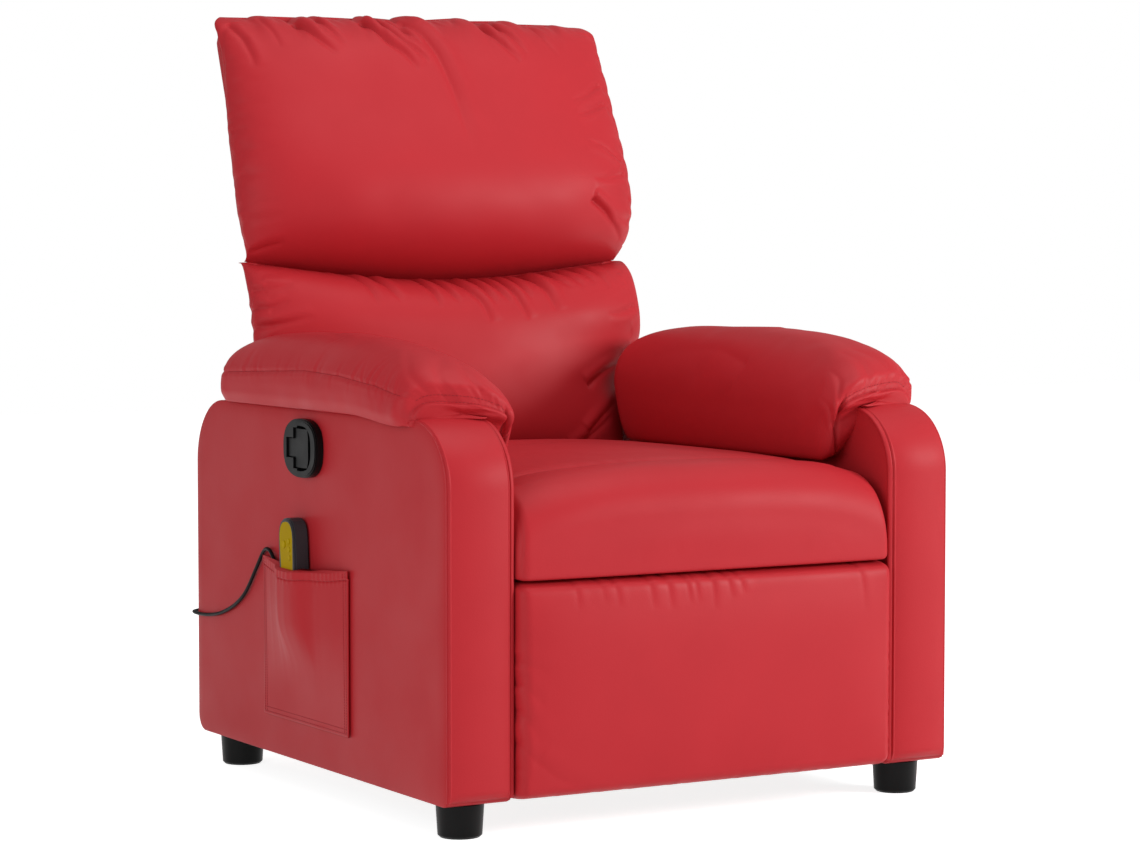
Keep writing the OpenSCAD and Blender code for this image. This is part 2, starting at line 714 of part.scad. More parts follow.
function rest_ring(t) =
    let (edge = dome(t, 7),
         h = (rest_top - rest_bottom) / 2,
         zc = (rest_top + rest_bottom) / 2,
         hz = h - 3 * (1 - edge),
         deep = (rest_pad_t - 8) * (0.62 + 0.38 * pow(edge, 0.6)),
         n = 14,
         back = board_rear - board_t)
    concat(
        [for (i = [0:n]) let (s = cos(180 * i / n), puff = deep * pow(max(0, 1 - pow(abs(s), 5)), 0.45))
            [t * seat_half, back - 6 - puff - 2 * dome(s, 2) * edge, zc + hz * s]],
        [for (i = [0:5]) let (s = -1 + 2 * i / 5) [t * seat_half, back, zc + hz * 0.985 * s]]);
rest_stations = [for (k = [0:14]) let (s = -1 + 2 * k / 14) sgn_pow(sin(90 * s), 0.9)];
module footrest_pad() {
    placed() color(RED) skin([for (t = rest_stations) rest_ring(t)]);
}

bracket_foot = 26;
module footrest_brackets() {
    placed() color(STEEL) both_sides() {
        difference() {
            side_plate(concat([[board_rear, pivot_f[1] - 16]], arc(pivot_f, 11, -90, 0, 4),
                arc(pivot_e, 11, 0, 90, 4), [[board_rear, pivot_e[1] + 16]]), rear_link_x, steel_t);
            for (p = [pivot_e, pivot_f]) side_pin(p, pin_r, rear_link_x - 1, rear_link_x + steel_t + 1);
        }
        translate([rear_link_x - bracket_foot, board_rear, pivot_f[1] - 16])
            cube([bracket_foot, steel_t, pivot_e[1] - pivot_f[1] + 32]);
    }
}

module bracket_rivets() {
    placed() color(STEEL) both_sides() for (p = [pivot_e, pivot_f]) {
        side_pin(p, pin_r, rear_link_x - 1.5, lower_link_x + steel_t + 1.5);
        side_pin(p, pin_r + 3, rear_link_x - 1.5, rear_link_x);
        side_pin(p, pin_r + 3, lower_link_x + steel_t + touch, lower_link_x + steel_t + 1.5);
    }
}

// ---------- seat ----------

web_t = 3;
seat_frame_top = deck_z - web_t;
seat_frame_y0 = 62;
seat_frame_y1 = 600;
seat_motor_x = 110;
seat_motor_y = 170;

module seat_frame() {
    placed() color(TIMBER) difference() {
        translate([-seat_frame_half, seat_frame_y0, seat_frame_top - seat_rail_h])
            cube([2 * seat_frame_half, seat_frame_y1 - seat_frame_y0, seat_rail_h]);
        translate([-seat_frame_half + 50, seat_frame_y0 + 50, seat_frame_top - seat_rail_h - 1])
            cube([2 * seat_frame_half - 100, seat_frame_y1 - seat_frame_y0 - 100, seat_rail_h + 2]);
    }
}

module seat_webbing() {
    placed() color("#3A3A3A") union() {
        for (k = [-2:2]) translate([k * 92 - 30, seat_frame_y0, seat_frame_top])
            cube([60, seat_frame_y1 - seat_frame_y0, web_t]);
        for (y = [150, 270, 390, 500]) translate([-seat_frame_half, y, seat_frame_top])
            cube([2 * seat_frame_half, 60, web_t]);
    }
}

function seat_outline(t) =
    let (edge = dome(t, 6), top = seat_z + seat_crown * dome(t, 2.2) - 6 * (1 - edge),
         nose = seat_nose + 8 * edge, rear = seat_rear - 4 * (1 - edge), low = crease_z,
         turn = seat_frame_y0 - 2)
    concat(
        [[turn, low], [20, low]],
        [for (k = [0:8]) let (a = 200 - 110 * k / 8) [62 + (62 + nose) * cos(a), top - 62 + 62 * sin(a)]],
        [[84, top], [106, top - seam_sink * edge], [128, top + 1]],
        [for (k = [1:5]) [128 + (rear - 30 - 128) * k / 5, top + 1 + (k < 5 ? 2 : -2)]],
        [[rear - 8, top - 14], [rear, top - 40], [rear, deck_z + 12], [rear - 10, deck_z], [turn, deck_z]]);
module seat_cushion() {
    stations = [for (k = [0:14]) let (s = -1 + 2 * k / 14) sgn_pow(sin(90 * s), 0.9)];
    placed() color(RED) skin([for (t = stations) [for (p = seat_outline(t)) [t * seat_half, p[0], p[1]]]],
        true, [for (s = [-1, 1]) [s * seat_half, seat_frame_y0 - 17, deck_z + 14]]);
}

// ---------- massage motors ----------

// Flat housing with a motor can in it; the eccentric weight turns in the space above the can.
can_r = 12;
can_h = 8;
module motor_housing() {
    color(BLACK) rotate_extrude() polygon([
        [shaft_r + pin_clear, 0], [motor_r, 0], [motor_r, motor_t], [0, motor_t], [0, motor_t - 2],
        [motor_r - 2, motor_t - 2], [motor_r - 2, 2], [can_r, 2], [can_r, can_h],
        [shaft_r + pin_clear, can_h]]);
}

module motor_weight() {
    color(STEEL) {
        translate([0, 0, 1]) cylinder(r = shaft_r, h = motor_t - 5);
        translate([0, 0, can_h + 1]) difference() {
            cylinder(r = motor_r - 5, h = motor_t - can_h - 5);
            translate([-motor_r, 0, -1]) cube([2 * motor_r, motor_r, motor_t]);
        }
    }
}

module seat_motor_place(s) {
    placed() translate([s * seat_motor_x, seat_motor_y, seat_frame_top - motor_t]) children();
}

module seat_motors() {
    for (s = [-1, 1]) seat_motor_place(s) motor_housing();
}

module motor_weight_seat_right() {
    seat_motor_place(-1) motor_weight();
}

module motor_weight_seat_left() {
    seat_motor_place(1) motor_weight();
}

// ---------- back ----------

function on_back(x, u, w) = [x, back_line(u, w)[0], back_line(u, w)[1]];
module back_place() {
    placed() translate([0, back_y, back_z]) rotate([90 - back_lean, 0, 0]) children();
}

back_half = seat_half - 3;
frame_gap = steel_t + 0.7;
stile_half = back_half - frame_gap;
stile_w = 46;
frame_w0 = -back_frame_in - back_timber_t;
shell_w0 = frame_w0 - back_cover_t;
head_motor_u = 523;
lumbar_motor_u = 277;
head_motor_x = 165;
lumbar_motor_x = 148;

// Outline of the back in its own plane, straight between the arms and widening to its top.
function back_outline(g, low, top, r) = let (
        narrow = back_half - g, wide = back_half + back_flare - g,
        right = concat([[narrow, low], [narrow, pillow_split - 40], [wide, top - r]],
            arc([wide - r, top - r], r, 10, 90, 6)),
        n = len(right))
    concat(right, [for (i = [n - 1:-1:0]) [-right[i][0], right[i][1]]]);

// In the back's own plane x is across, y along the back and z towards the sitter.
module back_frame() {
    back_place() color(TIMBER) difference() {
        translate([0, 0, frame_w0]) linear_extrude(back_timber_t)
            polygon(back_outline(frame_gap, -12, back_len - 20, 20));
        for (span = [[50, lumbar_motor_u - 35], [lumbar_motor_u + 35, head_motor_u - 35],
                     [head_motor_u + 35, back_len - 70]])
            translate([-stile_half + stile_w, span[0], frame_w0 - 1])
                cube([2 * (stile_half - stile_w), span[1] - span[0], back_timber_t + 2]);
        for (s = [-1, 1]) {
            translate([s * head_motor_x, head_motor_u, frame_w0 - 1])
                cylinder(r = motor_r + 0.2, h = back_timber_t + 2);
            translate([s * lumbar_motor_x, lumbar_motor_u, frame_w0 - 1])
                cylinder(r = motor_r + 0.2, h = back_timber_t + 2);
            translate([s * stile_half, back_pivot_u, frame_w0 + back_timber_t / 2]) rotate([0, 90, 0])
                cylinder(r = back_pin_r + 3, h = 32, center = true);
        }
    }
}

web_w = 50;
module back_webbing() {
    back_place() color("#3A3A3A") for (u = [90, 160, 370, 440, 620])
        translate([-stile_half, u, -back_frame_in]) cube([2 * stile_half, web_w, 2]);
}

module back_shell() {
    back_place() color(SIDE_RED) difference() {
        translate([0, 0, shell_w0]) linear_extrude(back_cover_t + back_timber_t)
            polygon(back_outline(0, 36, back_len - 6, 26));
        translate([0, 0, frame_w0]) linear_extrude(back_timber_t + 1)
            polygon(back_outline(steel_t, 30, back_len - 6 - back_cover_t, 20));
    }
}

module back_brackets() {
    back_place() color(STEEL) both_sides() difference() {
        translate([stile_half, -2, frame_w0]) cube([steel_t, 36, back_timber_t]);
        translate([stile_half - 1, back_pivot_u, frame_w0 + back_timber_t / 2]) rotate([0, 90, 0])
            cylinder(r = back_pin_r + pin_clear, h = steel_t + 2);
    }
}

// A pillow on the back: rings run across, stacked from its lower to its upper edge. Each ring is
// a box pillow's section: steep sides as high as edge, and a crown between them.
pillow_base = -back_frame_in + 2 + touch;
function pillow_ring(u_side, u_mid, half, edge, crown) =
    let (n = 17, turn = [for (i = [0:n]) 180 * i / n], ts = [for (q = turn) -sgn_pow(cos(q), 0.26)])
    concat(
        [for (i = [0:n]) [half * ts[i], u_side + (u_mid - u_side) * dome(ts[i], 2),
            pillow_base + 3 + edge * pow(max(0, sin(turn[i])), 0.34) + crown * dome(ts[i], 2)]],
        [for (i = [n:-1:0]) [half * 0.985 * ts[i], u_side + (u_mid - u_side) * dome(ts[i], 2), pillow_base]]);

// The lumbar pillow is drawn in between the arm pads and fills out above them.
function lumbar_ring(s) =
    let (grow = ease((s - 0.5) / 0.25),
         full = ease((s - 0.46) / 0.2) * (1 - 0.3 * ease((s - 0.9) / 0.1)),
         half = back_half - 1 + (pillow_bulge + 12) * full,
         swell = pow(max(0, 1 - pow(abs(2 * s - 1), s > 0.5 ? 5 : 3)), 0.5),
         deep = lumbar_crown - pillow_base - 3,
         edge = deep * (0.47 + 0.45 * grow) * swell,
         u = lumbar_low + (pillow_split - 2 - lumbar_low) * s)
    pillow_ring(u, u - split_sag * ease((s - 0.5) / 0.5), half, edge, deep * swell - edge);

// The head pillow is thickest just above the crease and thins to the top seam.
function head_ring(s) =
    let (belly = 0.16,
         t = (s - belly) / (1 - belly),
         round = s < 0.25 ? 1 - pow(1 - s / 0.25, 2.5) : 1 - pow((s - 0.25) / 0.75, 2),
         half = back_half + back_flare + (pillow_bulge + 4) * round + 8 * ease((s - 0.8) / 0.2),
         swell = s < belly ? pow(max(0, 1 - pow(1 - s / belly, 2.4)), 0.5)
                           : (1 - 0.5 * pow(t, 1.5)) * pow(max(0, 1 - pow(t, 9)), 0.5),
         deep = (head_crown - pillow_base - 3) * swell,
         u = pillow_split + (back_len - pillow_split) * s)
    pillow_ring(u, u - split_sag * (1 - ease(s / 0.5)) + 6 * ease((s - 0.6) / 0.4), half,
        deep * 0.88, deep * 0.12);

pillow_s = [0, 0.015, 0.05, 0.1, 0.17, 0.27, 0.38, 0.5, 0.6, 0.7, 0.8, 0.88, 0.94, 0.98, 1];
module lumbar_pillow() {
    placed() color(RED) skin([for (s = pillow_s) [for (p = lumbar_ring(s)) on_back(p[0], p[1], p[2])]],
        strip = true);
}

module head_pillow() {
    placed() color(RED) skin([for (s = pillow_s) [for (p = head_ring(s)) on_back(p[0], p[1], p[2])]],
        strip = true);
}

module back_motor_place(s, x, u) {
    back_place() translate([s * x, u, frame_w0]) children();
}

module back_motors() {
    for (s = [-1, 1]) {
        back_motor_place(s, head_motor_x, head_motor_u) motor_housing();
        back_motor_place(s, lumbar_motor_x, lumbar_motor_u) motor_housing();
    }
}

module motor_weight_head_right() {
    back_motor_place(-1, head_motor_x, head_motor_u) motor_weight();
}

module motor_weight_head_left() {
    back_motor_place(1, head_motor_x, head_motor_u) motor_weight();
}

module motor_weight_lumbar_right() {
    back_motor_place(-1, lumbar_motor_x, lumbar_motor_u) motor_weight();
}

module motor_weight_lumbar_left() {
    back_motor_place(1, lumbar_motor_x, lumbar_motor_u) motor_weight();
}

// ---------- control box ----------

box_w = 130;
box_h = 44;
box_d = 34;
box_z = rail_z + 8;
box_wall = 2;
inlet_r = 6;
inlet_in = 14;
module control_box() {
    placed() color(BLACK) translate([0, rear_rail_y + timber_t, box_z]) difference() {
        translate([-box_w / 2, 0, 0]) cube([box_w, box_d, box_h]);
        translate([-box_w / 2 + box_wall, box_wall, box_wall])
            cube([box_w - 2 * box_wall, box_d - 2 * box_wall, box_h - 2 * box_wall]);
        translate([box_w / 4, box_d / 2, -1]) cylinder(r = inlet_r, h = box_wall + 2);
    }
}

// Low-voltage socket in the underside of the control box
module power_inlet() {
    placed() color(STEEL) translate([box_w / 4, rear_rail_y + timber_t + box_d / 2, box_z - 2]) difference() {
        union() {
            cylinder(r = inlet_r + 2, h = 2);
            cylinder(r = inlet_r, h = inlet_in + 2);
        }
        translate([0, 0, -1]) cylinder(r = inlet_r / 2, h = inlet_in - 1);
    }
}

// ---------- side pocket, handset and cord ----------

pocket_bulge = handset_t + 5;
function pocket_depth(y, z) =
    let (ty = 2 * (y - pocket_y0) / (pocket_y1 - pocket_y0) - 1,
         tz = (z - pocket_z0) / (pocket_z1 - pocket_z0))
    pocket_bulge * pow(dome(ty, 2.6), 0.7) * ease(tz / 0.55);
pocket_dip = 8;
module side_pocket() {
    n = 16;
    m = 9;
    rings = [for (k = [0:m])
        let (z0 = pocket_z0 + (pocket_z1 - pocket_z0) * k / m,
             wall = [for (i = [0:n]) let (y = pocket_y0 + (pocket_y1 - pocket_y0) * i / n)
                 [half_w + pocket_depth(y, z0), y, z0 - pocket_dip * dome(2 * i / n - 1, 2) * k / m]])
        concat([for (p = wall) p + [pocket_t, 0, 0]], [for (i = [n:-1:0]) wall[i]])];
    placed() color(SIDE_RED) mirror([1, 0, 0]) skin(rings, strip = true);
}

handset_tilt = 4;
face_t = 1.5;
face_inset = 5;
key_h = 1;
// The handset stands in its own plane: x to the rear, y up, z out of the chair's side.
module handset_place() {
    placed() mirror([1, 0, 0]) translate([half_w + 1, handset_y, handset_top - handset_l / 2])
        rotate([90, 0, 90]) rotate([0, 0, -handset_tilt]) children();
}
function handset_outline(g) = let (l = handset_l - 2 * g, w = handset_w - 2 * g)
    concat(arc([w / 2 - 10, -l / 2 + 10], 10, 270, 360, 4),
        [for (i = [0:10]) [w / 2 * sgn_pow(cos(18 * i), 0.8), l / 2 - 28 + 28 * pow(sin(18 * i), 0.8)]],
        arc([-w / 2 + 10, -l / 2 + 10], 10, 180, 270, 4));
function face_outline(g) = let (
        top = handset_l / 2 - face_inset - g, low = -handset_l / 2 + 12 + g,
        w = handset_w / 2 - face_inset - g)
    concat([[w - 5, low]],
        [for (i = [0:10]) [w * sgn_pow(cos(18 * i), 0.8), top - 24 + 24 * pow(sin(18 * i), 0.8)]],
        [[-w + 5, low]]);
// Keys on the face: place across, place along, radius
keys = [[-9, 36, 3.2], [-9, 25, 3.2], [-9, 14, 3.2], [7, 32, 5], [0, -6, 4.5]];
key_room = 0.25;
cord_in = 8;
cord_room = 0.3;

module handset_body() {
    handset_place() color("#3C3C40") difference() {
        union() {
            translate([0, 0, 2]) linear_extrude(handset_t - 5) polygon(handset_outline(0));
            linear_extrude(2) polygon(handset_outline(2));
            translate([0, 0, handset_t - 3]) linear_extrude(2) polygon(handset_outline(1.5));
            translate([0, 0, handset_t - 1]) linear_extrude(1) polygon(handset_outline(3));
        }
        translate([0, 0, handset_t - face_t]) linear_extrude(face_t + 1) polygon(face_outline(-0.1));
        for (k = keys) translate([k[0], k[1], handset_t - face_t - key_travel - 2])
            cylinder(r = k[2] + key_room, h = 8);
        translate([0, -handset_l / 2 - 1, handset_t / 2]) rotate([-90, 0, 0])
            cylinder(r = cord_d / 2 + cord_room, h = cord_in + 1);
    }
}

module handset_faceplate() {
    handset_place() color("#A89000") translate([0, 0, handset_t - face_t]) difference() {
        linear_extrude(face_t) polygon(face_outline(0.1));
        for (k = keys) translate([k[0], k[1], -1]) cylinder(r = k[2] + key_room, h = face_t + 2);
    }
}

module key(i) {
    handset_place() color("#C9B020") translate([keys[i][0], keys[i][1], handset_t - face_t - 1])
        cylinder(r = keys[i][2], h = face_t + 1 + key_h);
}

module key_top() {
    key(0);
}

module key_middle() {
    key(1);
}

module key_low() {
    key(2);
}

module key_level() {
    key(3);
}

module key_arrow() {
    key(4);
}

// Cord: out of the handset's lower end, up the pocket, over its rear corner and round the arm
// into the gland in the arm's rear face.
gland_x = 352;
gland_r = 6;
gland_rim = 3;
gland_flange = 4;
gland_nose = 10;
gland_in = 4;
gland_end = arm_d + gland_nose;
handset_low = handset_top - handset_l / 2 - (handset_l / 2 - cord_in) * cos(handset_tilt);
handset_low_y = handset_y - (handset_l / 2 - cord_in) * sin(handset_tilt);
cord_x = half_w + cord_d / 2 + 0.5;
cord_route = concat(
    [for (d = [0, 6, 12]) [half_w + 1 + handset_t / 2, handset_low_y - d * sin(handset_tilt),
        handset_low - d * cos(handset_tilt)]],
    [[398, 408, 228], [398, 415, 219], [397, 428, 220], [395, 444, 236], [393, 462, 270],
     [391, 480, 303], [390, 498, 322], [389, 515, 328], [cord_x, 531, 322], [cord_x, 552, 300],
     [cord_x, 588, 263], [cord_x, 620, 243], [cord_x, 650, 231], [cord_x, 682, 222],
     [cord_x, 715, 217], [cord_x, 742, 215], [cord_x, 764, 215], [384, 779, 215], [374, 789, 215],
     [362, 793, 215.5], [354, 791, 216]],
    [for (d = [7, 2, -gland_in]) [gland_x, gland_end + d, cord_z]]);
module handset_cord() {
    placed() color(BLACK) mirror([1, 0, 0]) tube(smooth_path(cord_route, 3), cord_d, 8);
}

module cord_gland() {
    inner = cover_t + gland_flange;
    placed() color(BLACK) translate([-gland_x, arm_d - inner, cord_z]) rotate([-90, 0, 0]) rotate_extrude()
        polygon([[0, 0], [gland_r + gland_rim, 0], [gland_r + gland_rim, gland_flange],
            [gland_r, gland_flange], [gland_r, inner], [gland_r + gland_rim, inner],
            [gland_r + gland_rim - 1, inner + 3], [cord_d / 2 + 1.5, inner + gland_nose],
            [cord_d / 2 + cord_room, inner + gland_nose],
            [cord_d / 2 + cord_room, inner + gland_nose - gland_in], [0, inner + gland_nose - gland_in]]);
}

arm_frame_right();
arm_frame_left();
arm_cover_right();
arm_cover_left();
arm_front_right();
arm_front_left();
arm_pad_right();
arm_pad_left();
front_rail();
rear_rail();
feet();
foot_bolts();
side_pocket();
handle_bezel();
release_handle();
release_cable();
latch_box();
base_plate_right();
base_plate_left();
base_pivots();
plate_bolts();
seat_frame();
seat_webbing();
seat_cushion();
seat_motors();
motor_weight_seat_right();
motor_weight_seat_left();
control_box();
power_inlet();
handset_body();
handset_faceplate();
key_top();
key_middle();
key_low();
key_level();
key_arrow();
handset_cord();
cord_gland();
front_links();
drive_tube();
front_link_rivets();
lower_links();
rear_links();
upper_links();
footrest_board();
footrest_pad();
footrest_brackets();
bracket_rivets();
back_frame();
back_webbing();
back_shell();
head_pillow();
lumbar_pillow();
back_brackets();
back_motors();
motor_weight_head_right();
motor_weight_head_left();
motor_weight_lumbar_right();
motor_weight_lumbar_left();
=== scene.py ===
"""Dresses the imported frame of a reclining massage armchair: faux-leather covers, pillows and pads,
a stitched side pocket, moulded handle and handset, the handset's cord, materials, stage and camera."""
import json
import math

import bpy
import numpy as np
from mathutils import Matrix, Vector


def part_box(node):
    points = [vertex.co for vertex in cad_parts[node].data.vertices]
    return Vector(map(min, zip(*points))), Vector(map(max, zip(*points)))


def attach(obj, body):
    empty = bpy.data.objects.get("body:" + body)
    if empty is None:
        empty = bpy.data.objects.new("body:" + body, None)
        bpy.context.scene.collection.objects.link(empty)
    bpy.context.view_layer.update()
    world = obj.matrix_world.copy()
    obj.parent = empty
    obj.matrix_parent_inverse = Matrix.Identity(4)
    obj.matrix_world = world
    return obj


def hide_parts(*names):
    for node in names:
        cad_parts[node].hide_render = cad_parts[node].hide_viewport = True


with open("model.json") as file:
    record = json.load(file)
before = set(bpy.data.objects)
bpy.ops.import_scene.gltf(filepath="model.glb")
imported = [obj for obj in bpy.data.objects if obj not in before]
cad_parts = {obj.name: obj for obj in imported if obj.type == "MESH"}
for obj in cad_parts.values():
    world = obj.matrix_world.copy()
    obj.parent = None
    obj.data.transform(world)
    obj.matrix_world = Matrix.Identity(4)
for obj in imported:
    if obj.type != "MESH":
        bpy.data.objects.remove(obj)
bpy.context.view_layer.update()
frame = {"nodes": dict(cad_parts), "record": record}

bl_info = {
    "name": "Reclining massage armchair",
    "version": (1, 0, 0),
    "blender": (4, 5, 0),
    "location": "3D View > Sidebar > Armchair",
    "description": "Upholstery, trim, materials and stage of a reclining massage armchair",
    "category": "Object",
}

FRONT = float(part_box("arm_cover_right")[0][1]) - 0.004  # y of the arms' front line
LEAN = math.radians(15)  # the back's lean from upright
HALF = 0.385  # half of the width over the arms
ARM_IN = 0.289  # |x| of an arm's inner face
ARM_TOP = 0.525  # height of an arm box
SEAT_HALF = 0.285  # half of the seat's width
BACK_Y, BACK_Z = 0.662, 0.350  # foot of the back's face line: depth, height


# ---- sizes and colours a user would change

class ChairColours(bpy.types.PropertyGroup):
    leather: bpy.props.StringProperty(name="Leather", default="#C42B33",
        description="Red of the faux leather on the seat, pillows, pads and arm fronts")
    panel: bpy.props.StringProperty(name="Side panels", default="#BF2930",
        description="Red of the flatter side and rear panels")
    plastic: bpy.props.StringProperty(name="Black plastic", default="#0D0D0E",
        description="Colour of the feet, the handle and its bezel")
    shell: bpy.props.StringProperty(name="Handset shell", default="#37373B",
        description="Colour of the handset's housing")
    face: bpy.props.StringProperty(name="Handset face", default="#AE9000",
        description="Colour of the handset's face plate")


class ChairSizes(bpy.types.PropertyGroup):
    seam_w: bpy.props.FloatProperty(name="Seam width", default=0.0022, unit="LENGTH",
        description="Half width of the groove that a sewn seam pulls into a cover")
    seam_d: bpy.props.FloatProperty(name="Seam depth", default=0.0026, unit="LENGTH",
        description="Depth of that groove")
    pressure: bpy.props.FloatProperty(name="Filling pressure", default=4.0,
        description="Pressure of the filling in the cloth simulation")
    swell: bpy.props.FloatProperty(name="Swelling limit", default=0.014, unit="LENGTH",
        description="Furthest that a point of a cover may move in the cloth simulation")


def sizes():
    """The sizes that a user can change."""
    return bpy.context.scene.chair_sizes


# ---- curves and grids

def ease(t):
    """Rises smoothly from 0 at t=0 to 1 at t=1: 3t^2 - 2t^3."""
    t = np.clip(t, 0, 1)
    return t * t * (3 - 2 * t)


def dome(t, p):
    """1 in the middle and 0 at t=-1 and t=1: 1 - |t|^p."""
    return 1 - np.minimum(1, np.abs(t)) ** p


def signed_power(v, p):
    """|v|^p with the sign of v."""
    return np.sign(v) * np.abs(v) ** p


def quarter(t):
    """A quarter circle, from 0 at t=0 up to 1 at t=1: sqrt(1 - (1 - t)^2)."""
    return np.sqrt(1 - (1 - np.clip(t, 0, 1)) ** 2)


def arc(y, z, r, start, end, n):
    """n points of an arc about (y, z), from one angle in degrees to another."""
    t = np.radians(np.linspace(start, end, n))
    return np.stack([y + r * np.cos(t), z + r * np.sin(t)], -1)


def hump(t, width):
    """A bell of height 1: exp(-(t / width)^2)."""
    return np.exp(-(t / width) ** 2)


def even(points, n, closed=False, crowd=None):
    """n points at equal distances along a polyline, which is closed back to its start if closed.
    Where crowd of a piece's middle is above 1 they stand closer by that factor."""
    p = np.asarray(points, float)
    if closed:
        p = np.vstack([p, p[:1]])
    length = np.linalg.norm(np.diff(p, axis=0), axis=1)
    if crowd is not None:
        length = length * crowd((p[1:] + p[:-1]) / 2)
    far = np.concatenate([[0], np.cumsum(length)])
    at = np.linspace(0, far[-1], n, endpoint=not closed)
    return np.stack([np.interp(at, far, p[:, k]) for k in range(p.shape[1])], -1)


def smooth_path(points, per):
    """Catmull-Rom curve through the points, with per pieces to each span."""
    p = np.asarray(points, float)
    a, b, c = np.vstack([p[:1], p[:-2]]), p[:-1], p[1:]
    d = np.vstack([p[2:], p[-1:]])
    t = (np.arange(per) / per)[None, :, None]
    a, b, c, d = (q[:, None, :] for q in (a, b, c, d))
    curve = 0.5 * (2 * b + (c - a) * t + (2 * a - 5 * b + 4 * c - d) * t ** 2
                   + (3 * b - a - 3 * c + d) * t ** 3)
    return np.vstack([curve.reshape(-1, p.shape[1]), p[-1:]])


def refine(grid, times=1):
    """Cubic B-spline subdivision of a grid of rings: each pass puts a new point between neighbours,
    round each closed ring and from ring to ring, and rounds the surface a little."""
    for _ in range(times):
        before, after = np.roll(grid, 1, 1), np.roll(grid, -1, 1)
        keep, new = (before + 6 * grid + after) / 8, (grid + after) / 2
        grid = np.stack([keep, new], 2).reshape(grid.shape[0], -1, *grid.shape[2:])
        middle = (grid[:-2] + 6 * grid[1:-1] + grid[2:]) / 8
        keep = np.concatenate([grid[:1], middle, grid[-1:]])
        new = (grid[:-1] + grid[1:]) / 2
        out = np.empty((2 * len(grid) - 1, *grid.shape[1:]))
        out[0::2], out[1::2] = keep, new
        grid = out
    return grid


def outward(grid):
    """Unit normal at each point of a grid of closed rings: the cross product of its two tangents,
    turned to point away from the middle of each ring."""
    round_ = np.roll(grid, -1, 1) - np.roll(grid, 1, 1)
    along = np.gradient(grid, axis=0)
    normal = np.cross(round_, along)
    normal /= np.maximum(np.linalg.norm(normal, axis=-1, keepdims=True), 1e-12)
    away = grid - grid.mean(1, keepdims=True)
    return normal * (1 if (normal * away).sum() > 0 else -1)


def ring_faces(rows, cols):
    """Quads between neighbouring rings of cols points, and the triangles that fan out from a point
    in the middle of the first and the last ring."""
    r, c = np.meshgrid(np.arange(rows - 1), np.arange(cols), indexing="ij")
    a, b = r * cols + c, r * cols + (c + 1) % cols
    quads = np.stack([a, a + cols, b + cols, b], -1).reshape(-1, 4)
    c = np.arange(cols)
    n, last = (c + 1) % cols, (rows - 1) * cols
    first_fan = np.stack([np.full(cols, rows * cols), c, n], -1)
    last_fan = np.stack([np.full(cols, rows * cols + 1), last + n, last + c], -1)
    return quads, np.vstack([first_fan, last_fan])


def mesh_of(name, points, quads, triangles=()):
    """A smooth-shaded object at the origin from arrays of points and faces, its faces outwards."""
    mesh = bpy.data.meshes.new(name)
    mesh.from_pydata(points.tolist(), [], quads.tolist() + [list(map(int, t)) for t in triangles])
    piece = bpy.data.objects.new(name, mesh)
    bpy.context.collection.objects.link(piece)
    a, b, c, d = (points[quads[:, k]] for k in range(4))
    if (np.einsum("ij,ij->i", a, np.cross(b, c)) + np.einsum("ij,ij->i", a, np.cross(c, d))).sum() < 0:
        mesh.flip_normals()
    mesh.polygons.foreach_set("use_smooth", np.ones(len(mesh.polygons), bool))
    mesh.update()
    return piece


def ring_piece(name, grid):
    """A closed piece from a grid of rings, with a fan over each end."""
    points = np.vstack([grid.reshape(-1, 3), grid[0].mean(0), grid[-1].mean(0)])
    return mesh_of(name, points, *ring_faces(*grid.shape[:2]))


def inset_rings(loop, middle, reach, insets):
    """Rings set in from an outline by each inset: the outline scaled about its middle by
    1 - inset / reach."""
    scale = 1 - insets[:, None] / reach[None, :]
    return middle + (loop - middle)[None] * scale[:, None, :]


def trace(grid, field, cols):
    """Points where a field over a grid crosses zero: in each row, the first crossing within the
    columns, placed by linear interpolation between its two neighbours."""
    f, g = field[:, cols], grid[:, cols]
    first = np.argmax(f[:, :-1] * f[:, 1:] <= 0, axis=1)
    k = np.arange(len(f))
    a, b = f[k, first], f[k, first + 1]
    t = np.where(a == b, 0, a / np.where(a == b, 1, a - b))[:, None]
    return g[k, first] * (1 - t) + g[k, first + 1] * t


